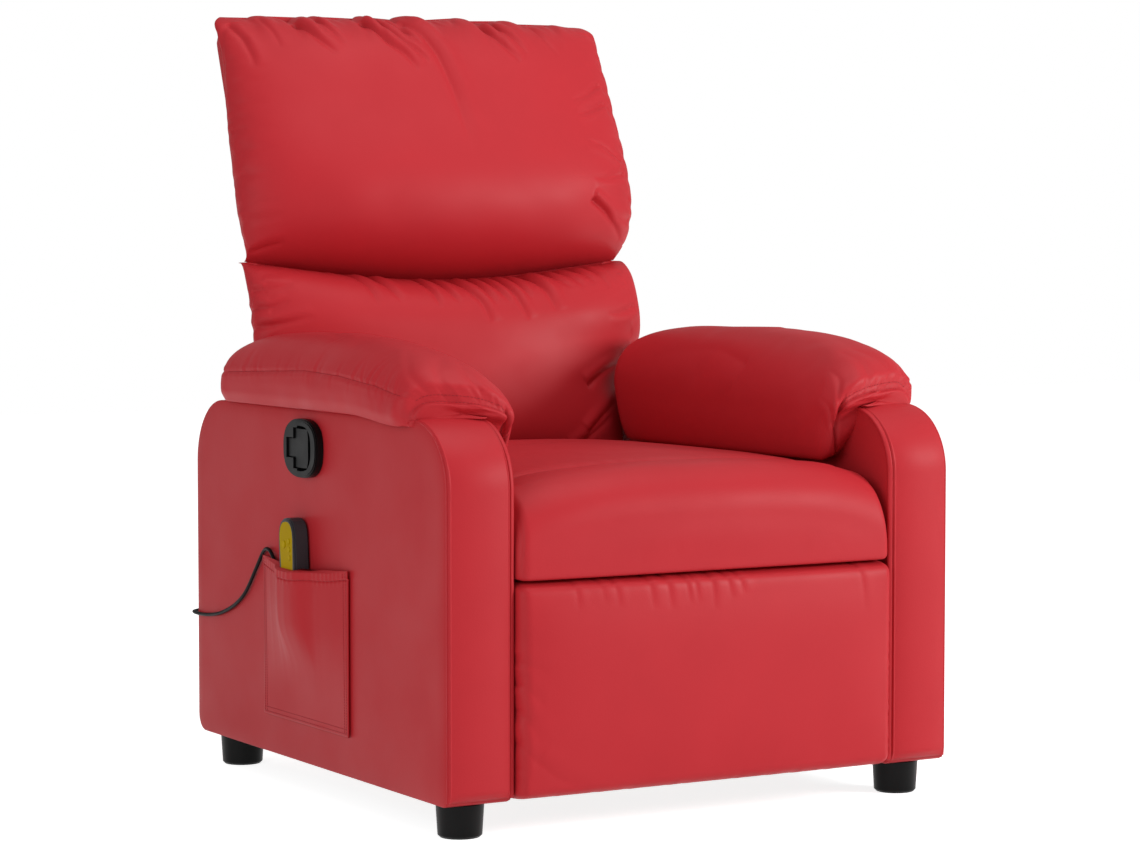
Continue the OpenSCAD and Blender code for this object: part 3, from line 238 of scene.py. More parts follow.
def stitches(name, lines, out, pitch=0.0048, thread=0.0004):
    """Thread stitches along lines of points on the arms: each is a six-sided spindle, as long as
    0.72 of the pitch, lying along the line and raised outwards by a third of its radius. out gives
    the outward direction at the points, or one direction for all."""
    centres, ways = [], []
    for line in lines:
        far = np.linalg.norm(np.diff(line, axis=0), axis=1).sum()
        n = max(2, int(far / pitch))
        ends = even(line, 2 * n + 1)
        centres.append(ends[1::2])
        ways.append(ends[2::2] - ends[:-2:2])
    centre, way = np.vstack(centres), np.vstack(ways)
    way /= np.linalg.norm(way, axis=1, keepdims=True)
    up = out(centre)
    side = np.cross(way, up)
    side /= np.maximum(np.linalg.norm(side, axis=1, keepdims=True), 1e-9)
    up = np.cross(side, way)
    n = len(centre)
    centre, way, side, up = (v[:, None, None] for v in (centre, way, side, up))
    turn = np.radians(np.arange(6) * 60)[:, None]
    reach, thick = pitch * 0.36 * np.array([-1, -0.7, 0.7, 1]), thread * np.array([0.35, 1, 1, 0.35])
    points = (centre + up * thread / 3 + way * reach[:, None, None]
              + (side * np.cos(turn) + up * np.sin(turn)) * thick[:, None, None])
    r, c = np.meshgrid(np.arange(3) * 6, np.arange(6), indexing="ij")
    quad = np.stack([r + c, r + (c + 1) % 6, r + 6 + (c + 1) % 6, r + 6 + c], -1).reshape(-1, 4)
    caps = np.array([[0, 5, 4, 3], [0, 3, 2, 1], [18, 19, 20, 21], [18, 21, 22, 23]])
    faces = (np.vstack([quad, caps])[None] + 24 * np.arange(n)[:, None, None]).reshape(-1, 4)
    piece = mesh_of(name, points.reshape(-1, 3), faces)
    # The thread's darker red is painted shade of the seam groove
    dress(piece, "stitch_thread_seam_shade", "chair_base", "red_leather")


def rounded_ends(section, half, radius, n, steps=9):
    """Stations across a cushion, from -half to half: n evenly spaced and more where its ends round
    over. At a distance e from the end the section is inset by r - sqrt(r^2 - (r-e)^2)."""
    a = np.radians(np.linspace(0, 90, steps))
    end = half - radius + radius * np.cos(a)
    inset = radius * (1 - np.sin(a))
    middle = np.linspace(-(half - radius), half - radius, n)[1:-1]
    x = np.concatenate([-end, middle, end[::-1]])
    inset = np.concatenate([inset, np.zeros(n - 2), inset[::-1]])
    return np.stack([section(v / half, d) for v, d in zip(x, inset)]), x


def in_chair(x, depth, z):
    """A point of the chair from its x, its depth behind the arms' front line and its height."""
    return np.stack(np.broadcast_arrays(x, FRONT + depth, z), -1)


def on_back(x, u, w):
    """A point of the back: x across, u along its face line from its base, w towards the sitter."""
    return np.stack(np.broadcast_arrays(x, FRONT + BACK_Y + u * math.sin(LEAN) - w * math.cos(LEAN),
                                        BACK_Z + u * math.cos(LEAN) + w * math.sin(LEAN)), -1)


def in_back(grid):
    """The inverse of on_back: the u and w of points."""
    y, z = grid[..., 1] - FRONT - BACK_Y, grid[..., 2] - BACK_Z
    return y * math.sin(LEAN) + z * math.cos(LEAN), z * math.sin(LEAN) - y * math.cos(LEAN)


# ---- filling and folds

def filled(name, grid, held, limit=None, slack=0.02, frames=20, calm=3):
    """Blows a cover up over its filling with Cloth: held is 1 where it is sewn down, slack how much
    larger the cloth is than its shape. No point moves further than the limit. The move is averaged
    over neighbours calm times, because thick padding doesn't show small ripples."""
    piece = ring_piece(name + "_cloth", grid)
    sewn = piece.vertex_groups.new(name="sewn")
    sewn.add(np.flatnonzero(np.append(held.reshape(-1), (1, 1))).tolist(), 1.0, "REPLACE")
    cloth = piece.modifiers.new("filling", "CLOTH")
    cloth.settings.quality = 5
    cloth.settings.vertex_group_mass = "sewn"
    cloth.settings.use_pressure = True
    cloth.settings.uniform_pressure_force = sizes().pressure
    cloth.settings.shrink_min = -slack
    cloth.settings.effector_weights.gravity = 0
    for step in range(1, frames + 1):
        bpy.context.scene.frame_set(step)
    shape = piece.evaluated_get(bpy.context.evaluated_depsgraph_get()).data
    after = np.empty(len(shape.vertices) * 3)
    shape.vertices.foreach_get("co", after)
    bpy.context.scene.frame_set(1)
    bpy.data.objects.remove(piece)
    move = after[:grid.size].reshape(grid.shape) - grid
    far = np.linalg.norm(move, axis=-1, keepdims=True)
    limit = limit or sizes().swell
    move = move * limit * np.tanh(far / limit) / np.maximum(far, 1e-9)
    for _ in range(calm):
        move = (np.roll(move, 1, 1) + 2 * move + np.roll(move, -1, 1)) / 4
        move = np.concatenate([move[:1], (move[:-2] + 2 * move[1:-1] + move[2:]) / 4, move[-1:]])
    return grid + move


def near(a, b, path):
    """For points (a, b): signed distance from a polyline, and how far along it, from 0 to 1."""
    path = np.asarray(path, float)
    best, side, along = np.full(a.shape, 1e9), np.ones(a.shape), np.zeros(a.shape)
    for k in range(len(path) - 1):
        p, d = path[k], path[k + 1] - path[k]
        s = np.clip(((a - p[0]) * d[0] + (b - p[1]) * d[1]) / (d @ d), 0, 1)
        da, db = a - p[0] - s * d[0], b - p[1] - s * d[1]
        far = np.hypot(da, db)
        closer = far < best
        best = np.where(closer, far, best)
        side = np.where(closer, np.sign(d[0] * db - d[1] * da), side)
        along = np.where(closer, (k + s) / (len(path) - 1), along)
    return best * np.where(side == 0, 1, side), along


def fold(a, b, path, width, depth):
    """A crease: a valley along the path with a softer ridge on its left, deepest near its start and
    fading to its end."""
    far, along = near(a, b, smooth_path(path, 6))
    fade = ease(along / 0.06) * (1 - along) ** 0.7
    valley = -0.65 * hump(far, width) - 0.5 * hump(far, 0.42 * width)
    ridge = 0.75 * hump(far - 2.1 * width, 1.4 * width)
    return depth * fade * (valley + ridge)


def gathers(s, d, span, count, reach, width, depth, seed):
    """Small folds that run away from a gathered seam: s is measured along the seam over span, d away
    from it. Each starts at the seam, slants a little, widens and fades within its reach."""
    rng = np.random.default_rng(seed)
    total = np.zeros(np.broadcast(s, d).shape)
    ats = span[0] + (span[1] - span[0]) * (np.arange(count) + rng.uniform(0.1, 0.9, count)) / count
    for at in ats:
        long_, wide = reach * rng.uniform(0.45, 1.2), width * rng.uniform(0.7, 1.4)
        slant, deep = rng.uniform(-0.45, 0.45), depth * rng.uniform(0.5, 1.2)
        off = s - at - slant * d
        spread = wide * (0.7 + 0.8 * np.clip(d / long_, 0, 1))
        fade = np.clip(1 - d / long_, 0, 1) ** 1.3 * (d >= 0)
        total += deep * fade * (0.55 * hump(off - 1.9 * spread, spread) - hump(off, spread))
    return total


def seam(far, welt=0.5):
    """A sewn seam: a narrow groove with a rounded welt on each side of it."""
    w, d = sizes().seam_w, sizes().seam_d
    return d * (-hump(far, w) + welt * hump(np.abs(far) - 2.6 * w, 1.3 * w))


def folds(a, b, rows, wide=1.0, deep=1.0):
    """The folds of a table added up, their widths and depths scaled by wide and deep. A row holds a
    fold's width, its depth and its path's points, two numbers each, in millimetres."""
    total = 0
    for row in rows:
        v = np.array(row) / 1000
        total = total + fold(a, b, v[2:].reshape(-1, 2), wide * v[0], deep * v[1])
    return total


def dents(s, rows):
    """Dents along an edge added up: depth * exp(-((s - at) / width)^2), from rows of at, width and
    depth in millimetres."""
    return sum(deep / 1000 * hump(s - at / 1000, wide / 1000) for at, wide, deep in rows)


def finished_pad(name, grid, move, body, node, fill):
    """A padded cover: the points of its grid moved outwards, closed, and given its leather."""
    piece = ring_piece(name, grid + outward(grid) * move[..., None])
    dress(piece, "leather_soft", body, "red_leather", node, fill=fill)


# ---- materials

def linear(text, share=1.0):
    """An sRGB hex colour as linear RGBA, made darker or lighter by a share."""
    srgb = np.array([int(text[k:k + 2], 16) for k in (1, 3, 5)]) / 255
    rgb = np.where(srgb <= 0.04045, srgb / 12.92, ((srgb + 0.055) / 1.055) ** 2.4)
    return (*(share * rgb).tolist(), 1.0)


def add(tree, kind, inputs=None, links=None, **settings):
    """Adds a shader node with its settings, its input values and its links from other nodes' outputs."""
    node = tree.nodes.new("ShaderNode" + kind)
    for key, value in settings.items():
        setattr(node, key, value)
    for key, value in (inputs or {}).items():
        node.inputs[key].default_value = value
    for key, (source, output) in (links or {}).items():
        tree.links.new(source.outputs[output], node.inputs[key])
    return node


def cleared(owner):
    """The emptied node tree of a material or a world."""
    owner.use_nodes = True
    owner.node_tree.nodes.clear()
    return owner.node_tree


def new_material(name):
    """A new material, its node tree, and the link that gives a piece's own coordinates."""
    material = bpy.data.materials.new(name)
    tree = cleared(material)
    place = add(tree, "TexCoord")
    return material, tree, {"Vector": (place, "Object")}


def relief_surface(tree, height, strength, distance, inputs, links):
    """Ends a material: a relief from a height, and the surface made of it and the inputs."""
    bump = add(tree, "Bump", {"Strength": strength, "Distance": distance}, {"Height": height})
    surface = add(tree, "BsdfPrincipled", inputs, {**links, "Normal": (bump, "Normal")})
    add(tree, "OutputMaterial", links={"Surface": (surface, "BSDF")})


def faux_leather(name, colour, roughness, grain=0.0016, depth=0.00022):
    """PU-coated fabric, calendered with a fine pebble grain: an even colour, broad soft highlights,
    slightly uneven gloss from handling. The real grain is near 0.8 mm and is drawn at 1.6 mm."""
    material, tree, here = new_material(name)
    pebble = add(tree, "TexVoronoi", {"Scale": 1 / grain, "Randomness": 1.0}, here, feature="SMOOTH_F1")
    wear = add(tree, "TexNoise", {"Scale": 9.0, "Detail": 4.0}, here)
    gloss = add(tree, "MapRange", {"From Min": 0.35, "From Max": 0.65,
                "To Min": roughness - 0.035, "To Max": roughness + 0.045}, {"Value": (wear, "Fac")})
    tint = add(tree, "MixRGB", {"Color1": linear(colour), "Color2": linear(colour, 0.9)},
               {"Fac": (wear, "Fac")})
    relief_surface(tree, (pebble, "Distance"), 0.35, depth, {"IOR": 1.47, "Specular IOR Level": 0.21},
                   {"Base Color": (tint, "Color"), "Roughness": (gloss, "Result")})
    return material


def moulded_plastic(name, colour, roughness, grit=0.0009, strength=0.25, gleam=0.2):
    """Injection-moulded ABS or polypropylene with a fine spark-eroded texture: dark, satin, with
    soft highlights that break up a little. The real grit is near 0.2 mm and is drawn at 0.9 mm."""
    material, tree, here = new_material(name)
    grain = add(tree, "TexNoise", {"Scale": 1 / grit, "Detail": 2.0}, here)
    cloud = add(tree, "TexNoise", {"Scale": 40.0, "Detail": 3.0}, here)
    gloss = add(tree, "MapRange", {"From Min": 0.3, "From Max": 0.7,
                "To Min": roughness - 0.05, "To Max": roughness + 0.05}, {"Value": (cloud, "Fac")})
    tint = add(tree, "MixRGB", {"Color1": linear(colour), "Color2": linear(colour, 1.15)},
               {"Fac": (cloud, "Fac")})
    relief_surface(tree, (grain, "Fac"), strength, 0.0002, {"IOR": 1.5, "Specular IOR Level": gleam},
                   {"Base Color": (tint, "Color"), "Roughness": (gloss, "Result")})
    return material


def sawn_pine(name, colour, along):
    """Planed softwood: pale yellow-brown with darker late-wood lines a few millimetres apart that run
    the length of the board, dull and slightly rough."""
    material, tree, here = new_material(name)
    stretch = [0.12 if axis == along else 1.0 for axis in "XYZ"]
    turn = add(tree, "Mapping", {"Scale": stretch}, here)
    rings = add(tree, "TexNoise", {"Scale": 190.0, "Detail": 5.0, "Distortion": 0.6},
                {"Vector": (turn, "Vector")})
    tone = add(tree, "MixRGB", {"Color1": linear(colour), "Color2": linear(colour, 0.5)},
               {"Fac": (rings, "Fac")})
    relief_surface(tree, (rings, "Fac"), 0.3, 0.0003, {"Roughness": 0.72}, {"Base Color": (tone, "Color")})
    return material


def coated_steel(name, colour, roughness, metallic):
    """Flat steel, zinc plated or powder coated: a faint orange-peel surface and a dull sheen."""
    material, tree, here = new_material(name)
    peel = add(tree, "TexNoise", {"Scale": 420.0, "Detail": 2.0}, here)
    cloud = add(tree, "TexNoise", {"Scale": 30.0, "Detail": 4.0}, here)
    gloss = add(tree, "MapRange", {"From Min": 0.3, "From Max": 0.7,
                "To Min": roughness - 0.06, "To Max": roughness + 0.08}, {"Value": (cloud, "Fac")})
    relief_surface(tree, (peel, "Fac"), 0.2, 0.0002, {"Base Color": linear(colour), "Metallic": metallic},
                   {"Roughness": (gloss, "Result")})
    return material


def woven_webbing(name, colour):
    """Jute and elastic webbing: coarse plain weave with threads near 2 mm apart, matt."""
    material, tree, here = new_material(name)
    warp, weft = (add(tree, "TexWave", {"Scale": 160.0, "Distortion": 0.4}, here, bands_direction=way)
                  for way in "XY")
    weave = add(tree, "Math", links={0: (warp, "Fac"), 1: (weft, "Fac")}, operation="MULTIPLY")
    tone = add(tree, "MixRGB", {"Color1": linear(colour, 0.5), "Color2": linear(colour)},
               {"Fac": (weave, "Value")})
    relief_surface(tree, (weave, "Value"), 0.6, 0.0006, {"Roughness": 0.85},
                   {"Base Color": (tone, "Color")})
    return material


def dress(piece, finish, body, slot, *nodes, fill=None):
    """Gives a new piece its finish and the body it moves with, and hides the nodes it replaces. slot is not
    used.
    """
    piece.data.materials.clear()
    piece.data.materials.append(material(finish))
    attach(piece, body)
    if nodes:
        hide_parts(*nodes)
    return piece


def material(name):
    """The chair's finishes by name, each made when it is first asked for."""
    if name in bpy.data.materials:
        return bpy.data.materials[name]
    c = bpy.context.scene.chair_colours
    makers = {
        "leather_soft": lambda: faux_leather(name, c.leather, 0.49),
        "leather_panel": lambda: faux_leather(name, c.panel, 0.50),
        "foot_polypropylene": lambda: moulded_plastic(name, "#070707", 0.40, gleam=0.12),
        "handle_abs": lambda: moulded_plastic(name, c.plastic, 0.38, gleam=0.13),
        "handset_abs": lambda: moulded_plastic(name, c.shell, 0.42),
        "face_film": lambda: moulded_plastic(name, c.face, 0.5, strength=0.1, gleam=0.04),
        "key_silicone": lambda: moulded_plastic(name, "#B79A08", 0.55, gleam=0.06),
        "cord_pvc": lambda: moulded_plastic(name, "#0A0A0B", 0.45, strength=0.1, gleam=0.1),
        # Thread red darker than the leather: painted shade of the seam groove that the stitches lie in
        "stitch_thread_seam_shade": lambda: moulded_plastic(name, "#9A252C", 0.6),
        "frame_pine": lambda: sawn_pine(name, "#C49A66", "Y"),
        "rail_pine": lambda: sawn_pine(name, "#C49A66", "X"),
        "link_steel": lambda: coated_steel(name, "#2E2F31", 0.42, 0.6),
        "zinc_steel": lambda: coated_steel(name, "#B9BBBD", 0.34, 1.0),
        "webbing": lambda: woven_webbing(name, "#57534C"),
    }
    return makers[name]()


# ---- covers of the arms

ARM_NOSE = 0.090, 0.439, 0.086  # an arm's front top corner: depth and height of its centre, radius


def arm_outline(n):
    """Side view of an arm box, (depth, height) at equal steps: straight sides with a wide front top
    and rear top corner and small lower corners."""
    loop = np.vstack([arc(0.014, 0.056, 0.010, 270, 180, 40), arc(*ARM_NOSE, 180, 90, 40),
                      arc(0.678, 0.435, 0.090, 90, 0, 40), arc(0.746, 0.068, 0.022, 0, -90, 40)])
    return even(loop, n, closed=True)


def arm_cover_grid():
    """Arm box as rings that follow its outline: from the middle of the inner face out over a small
    edge, across the arm's thickness, over a wide soft edge (a quarter ellipse, 2.6 mm by 22 mm) and in to
    the middle of the outer face. A ring set in by d is the outline scaled about its middle."""
    middle, reach = np.array([0.386, 0.2855]), np.array([0.382, 0.2395])
    inner_r, outer_r = 0.003, 0.0026
    t = np.radians(np.linspace(0, 90, 7))
    flat = np.linspace(0.238, 0.024, 25)
    rows = [(ARM_IN + 0.0005, d) for d in flat]
    rows += [(ARM_IN + inner_r * (1 - math.cos(a)), inner_r * (1 - math.sin(a))) for a in t]
    rows += [(x, 0.0) for x in np.linspace(ARM_IN + 0.01, HALF - outer_r - 0.003, 12)]
    t = np.radians(np.linspace(0, 90, 13))
    rows += [(HALF - 0.001 - outer_r * (1 - math.sin(a)), 0.022 * (1 - math.cos(a))) for a in t]
    rows += [(HALF - 0.001, d) for d in flat[::-1]]
    rows = np.array(rows)
    ring = inset_rings(arm_outline(300), middle, reach, rows[:, 1])
    return in_chair(rows[:, :1], ring[..., 0], ring[..., 1])


def strip_path(n):
    """Middle line of the strip on an arm's front, up the face and round its top corner, as (depth,
    height), and its outward unit normals."""
    y, z, _ = ARM_NOSE
    line = even(np.vstack([np.stack([np.full(40, 0.004), np.linspace(0.052, z, 40)], -1),
                           arc(*ARM_NOSE, 180, 93, 60)]), n)
    normal = np.radians(np.where(line[:, 1] < z, 180.0, np.degrees(np.arctan2(
        line[:, 1] - z, line[:, 0] - y))))
    return line, np.stack([np.cos(normal), np.sin(normal)], -1)


HANDLE_OPENING = 0.398, 0.473, 0.046, 0.0335, 2.6  # depth, height, half length, half height, power
STRIP_OUT, STRIP_IN = 0.3822, 0.2868  # |x| of the strip's edges


def arm_front_grid():
    """Strip on an arm's front: a section carried along the path by its normal. It rises with a small
    radius from the side panel, has a groove and a small welt along each edge and a full crown
    between them: 6.4 mm * (1 - |t|^2.2). The crown sinks towards the pad, which covers its end."""
    line, normal = strip_path(150)
    out = STRIP_OUT - STRIP_IN
    from_out = out * np.concatenate([np.linspace(0, 0.07, 22), np.linspace(0.08, 0.88, 60),
                                     np.linspace(0.885, 1, 26)])
    from_in = out - from_out

    def sewn(d):
        """The groove of a seam and the welt beside it."""
        return -0.0016 * hump(d, 0.0007) + 0.0010 * hump(d - 0.0019, 0.0010)
    edge = 0.0030 * quarter(from_out / 0.0030) * quarter(from_in / 0.0055)
    crown = 0.0064 * dome(2 * (from_out - 0.001) / (out - 0.0074) - 1, 2.2)
    crown *= (from_in > 0.0064) * (from_out > 0.001)
    high = 0.0002 + edge + crown + sewn(from_out - 0.0014) + sewn(from_in - 0.0064)
    step = np.arange(len(line)) / (len(line) - 1)
    sink = 1 - 0.62 * ease((step - 0.76) / 0.2)
    start = np.minimum(1, (np.arange(len(line)) + 0.3) / 3)
    high = high[None, :] * (sink * start)[:, None]
    outer = np.concatenate([np.broadcast_to(STRIP_OUT - from_out, high.shape)[..., None],
                            line[:, None, :] + high[..., None] * normal[:, None, :]], -1)
    back, shape = out * np.linspace(0, 1, 12), (len(line), 12)
    under = line[:, None, :] - 0.002 * normal[:, None, :]
    inner = np.concatenate([np.broadcast_to(STRIP_OUT - back[::-1], shape)[..., None],
                            np.broadcast_to(under, (*shape, 2))], -1)
    grid = np.concatenate([outer, inner], 1)
    grid[..., 1] += FRONT
    return grid


def open_for_handle(piece):
    """Cuts the handle's opening into the panel: a superellipse |y|^p + |z|^p = 1, 30 mm deep."""
    t = np.radians(np.arange(0, 360, 3))
    y, z, y_half, z_half, power = HANDLE_OPENING
    y = y + y_half * signed_power(np.cos(t), 2 / power)
    z = z + z_half * signed_power(np.sin(t), 2 / power)
    ends = np.array([[-HALF - 0.01], [-HALF + 0.03]])
    cutter = ring_piece("handle_opening", in_chair(ends, y, z))
    cut = piece.modifiers.new("opening", "BOOLEAN")
    cut.object, cut.operation, cut.solver = cutter, "DIFFERENCE", "EXACT"
    shape = bpy.data.meshes.new_from_object(piece.evaluated_get(bpy.context.evaluated_depsgraph_get()))
    piece.modifiers.clear()
    piece.data = shape
    bpy.data.objects.remove(cutter)


def make_arm_covers():
    """Side panel and front strip of each arm: one form, mirrored for the right arm."""
    for side, name in ((-1, "right"), (1, "left")):
        flip = np.array([side, 1.0, 1.0])
        piece = ring_piece("side_panel_" + name, arm_cover_grid() * flip)
        if name == "right":
            open_for_handle(piece)
        dress(piece, "leather_panel", "chair_base", "side_leather", "arm_cover_" + name)
        strip = ring_piece("front_strip_" + name, arm_front_grid() * flip)
        dress(strip, "leather_soft", "chair_base", "red_leather", "arm_front_" + name)


# ---- arm pads

PAD_FRONT, PAD_MID, PAD_REAR = 0.076, 0.400, 0.658  # depths of an arm pad's ends and highest point


def pad_section(y):
    """Section of an arm pad at a depth y, as dense (x, z) points: from the outer lower edge over the
    arm, down the inner drape and back up the arm's inner face. Towards the front the pad gets lower,
    falls more on its inner side and hangs a little over the arm's outer edge."""
    if y < PAD_MID:
        s = min(1.0, (y - PAD_FRONT) / (PAD_MID - PAD_FRONT))
        rise = 0.019 + 0.078 * (1 - (1 - s) ** 2.4) ** 0.365
    else:
        t = (y - PAD_MID) / (PAD_REAR - PAD_MID)
        rise = 0.097 * max(0.58, (1 - 0.55 * t ** 4) ** 0.5 - 0.2 * ease((t - 0.9) / 0.1))
    tilt = 0.13 * (1 - ease((y - 0.25) / 0.25)) + 0.28 * math.exp(-(y - PAD_FRONT) / 0.035)
    curl, curl_in = (1 - quarter(min((y - PAD_FRONT) / reach, (PAD_REAR - y) / 0.030))
                     for reach in (0.030, 0.036))
    xo, xi = HALF + 0.016 - 0.0148 * curl, ARM_IN - 0.048 + 0.0180 * curl_in
    middle, a = (xo + xi) / 2, (xo - xi) / 2
    base = ARM_TOP + 0.0003
    droop = 0.009 * (1 - ease((y - 0.10) / 0.16))
    hang = 0.064 + 0.0100 * ease((y - PAD_FRONT) / 0.030)
    q = np.linspace(0, np.pi, 240)
    power = 0.65 + 0.2 * ease((q - 1.2) / 0.8)
    x = middle + a * signed_power(np.cos(q), 0.75)
    z = (base + rise * (1 + tilt * np.cos(q)) * np.maximum(0, np.sin(q)) ** power
         - droop * np.maximum(0, np.cos(q)) ** 6)
    x = x - 0.006 * (1 - ease((z - base + droop) / 0.014)) * (q < 1.5)
    down = smooth_path([[xi + 0.0002, base - 0.004], [xi + 0.001, base - hang * 0.45],
                        [xi + 0.005, base - hang * 0.8], [xi + 0.015, base - hang],
                        [ARM_IN - 0.0063, base - hang], [ARM_IN - 0.0012, base - hang * 0.9],
                        [ARM_IN - 0.0012, base - 0.002], [ARM_IN + 0.01, base], [HALF - 0.006, base],
                        [HALF + 0.0022, base - 0.3 * droop], [HALF + 0.0045, base - droop]], 6)
    return np.vstack([np.stack([x, z], -1), down])


def arm_pad_grid(rings=84, around=112):
    """Arm pad as sections along the arm, closer together towards its front, its front corner drawn
    back and its rear end leaning with the back, with rings that dome its front and rear faces.
    Also gives the row of its front edge."""
    t = np.linspace(0, 1, rings)
    ys = PAD_FRONT + (PAD_REAR - PAD_FRONT) * (0.45 * t + 0.55 * t ** 2)
    ring = np.stack([even(pad_section(y), around, closed=True) for y in ys])
    y = ys[:, None]
    lean = ease((y - PAD_MID) / (PAD_REAR - PAD_MID)) * math.tan(LEAN)
    skew = 0.026 * (1 - ease((y - PAD_FRONT) / 0.15))
    y = y + lean * (ring[..., 1] - ARM_TOP) + skew * np.maximum(-0.3, (ring[..., 0] - ARM_IN - 0.032) / 0.096)
    inside = ring[..., 0] < ARM_IN
    near_arm = ease((ring[..., 0] - 0.245) / 0.040) * inside * ease((ARM_TOP + 0.002 - ring[..., 1]) / 0.012)
    drape = inside * ease((ARM_TOP + 0.004 - ring[..., 1]) / 0.030)
    y = y + (0.040 * near_arm + 0.012 * drape) * (1 - ease((ys - PAD_FRONT - 0.03) / 0.16))[:, None]
    grid = in_chair(ring[..., 0], y, ring[..., 1])

    def domed(edge, hub, out):
        """Rings inside an end ring, each a scaled copy that stands out by out * sqrt(1 - f^2)."""
        centre = np.array([hub[0], edge[:, 1].mean(), hub[1]])
        f = np.array([0.97, 0.9, 0.8, 0.68, 0.54, 0.38, 0.22, 0.08])[:, None, None]
        rings = centre + (edge - centre) * f
        f = f[..., 0]
        rings[..., 1] = edge[:, 1] * f + centre[1] * (1 - f) + out * np.sqrt(1 - f ** 2)
        return rings
    front = domed(grid[0], (0.322, ARM_TOP + 0.008), -0.012)[::-1]
    rear = domed(grid[-1], (0.285, ARM_TOP + 0.012), 0.006)
    return np.concatenate([front, grid, rear]), len(front)


def pad_lines(grid, row):
    """For a pad's grid: distance back from its front edge along the cover, and distance round the
    section from the outer lower edge."""
    back, round_ = (np.insert(np.linalg.norm(np.diff(grid, axis=k), axis=-1).cumsum(k), 0, 0, axis=k)
                    for k in (0, 1))
    return back - back[row], round_


# Folds that the filling's weight pulls from a pad's front corners up over it: mm back and mm round
PAD_FOLDS = (
    (10, 2.6, 10, 70, 50, 110, 100, 150),
    (11, 2.4, 20, 55, 70, 85, 130, 120),
    (9, 2.0, 10, 130, 50, 150, 100, 170),
    (6, 2.2, 8, 200, 35, 195, 75, 205),
    (6, 1.8, 8, 216, 30, 226, 65, 244),
    (14, 2.0, 300, 110, 400, 140, 520, 130),
    (14, 1.6, 260, 240, 360, 220, 500, 235))


def make_arm_pads():
    """Padded cushion over each arm: the swelled grid, then its seams, gathers and folds as moves
    along the normal, and the rows of stitches."""
    for side, name in ((-1, "right"), (1, "left")):
        grid, row = arm_pad_grid()
        low = grid[..., 2] < ARM_TOP + 0.004
        held = low & ~((grid[..., 0] < ARM_IN - 0.03) & (grid[..., 2] > ARM_TOP - 0.05))
        held[:8] = held[-8:] = True
        grid = filled("pad_" + name, grid, held, limit=0.003, slack=0.006)
        grid = refine(grid, 1)
        row = 2 * row
        back, round_ = pad_lines(grid, row)
        y, z = grid[..., 1] - FRONT, grid[..., 2]
        top = (round_ < 0.36) & (z > ARM_TOP - 0.072)
        # Plain seam along the outer side, with small pleats above and below it
        line = np.interp(y, [0.07, 0.09, 0.168, 0.275, 0.378, 0.64],
                         [0.551, 0.553, 0.566, 0.575, 0.578, 0.567])
        above = z - line
        side_on = (grid[..., 0] > HALF - 0.03) & (round_ < 0.12)
        move = np.where(side_on, seam(above, 0.25) * 0.6, 0)
        for span, count, reach, seed in (((0.11, 0.24), 6, 0.05, 3), ((0.50, 0.63), 8, 0.04, 5),
                                         ((0.26, 0.48), 6, 0.03, 8)):
            move += np.where(side_on, gathers(y, above, span, count, reach, 0.0035, 0.0013, seed)
                             + gathers(y, -above, span, count, 0.024, 0.0032, 0.0007, seed + 20), 0)
        # Twin-needle seam over the front edge and down the drape, gathered between its two lines
        fade = ease(round_ / 0.03) * (round_ < 0.34) * ease((back + 0.020) / 0.008)
        move += fade * np.where(back > -0.004, 1.1 * seam(back, 0.3) + 0.7 * seam(back - 0.008, 0.2), 0)
        move += fade * (0.0030 * hump(back - 0.024, 0.011) + 0.0009 * hump(back + 0.009, 0.006))
        move += fade * gathers(round_, back - 0.001, (0.06, 0.31), 13, 0.045, 0.0040, 0.0015, 11 + side)
        move += fade * gathers(round_, back - 0.001, (0.05, 0.31), 55, 0.011, 0.0014, 0.0008, 31 + side)
        move += fade * gathers(round_, -back - 0.001, (0.06, 0.30), 10, 0.010, 0.0030, 0.0006, 51)
        move += top * folds(back, round_, PAD_FOLDS)
        grid = grid + outward(grid) * (move * (np.abs(back) < 0.9))[..., None]
        flip = np.array([side, 1.0, 1.0])
        piece = ring_piece("arm_cushion_" + name, grid * flip)
        dress(piece, "leather_soft", "chair_base", "red_leather", "arm_pad_" + name, fill=0.7)
        second = row + int(np.argmin(np.abs(back[row:row + 12, 60] - 0.008)))
        sewn = [grid[r][(round_[r] > 0.035) & (round_[r] < 0.335)] for r in (row, second)]
        hub = np.array([0.31, FRONT + 0.2, ARM_TOP - 0.02])
        stitches("pad_front_stitches_" + name, [v * flip for v in sewn], lambda at: at - hub * flip)
        # Dark stitches along the plain outer seam: partly thread, partly the seam's painted shade line
        outer = slice(2, 2 * int(np.argmax(round_[row + 60] > 0.11) // 2))
        run = trace(grid, above, outer)[row + 6:-24]
        stitches("pad_side_seam_shade_stitches_" + name, [run * flip], lambda at: [side, 0, 0.25], pitch=0.0036)


# ---- seat and footrest

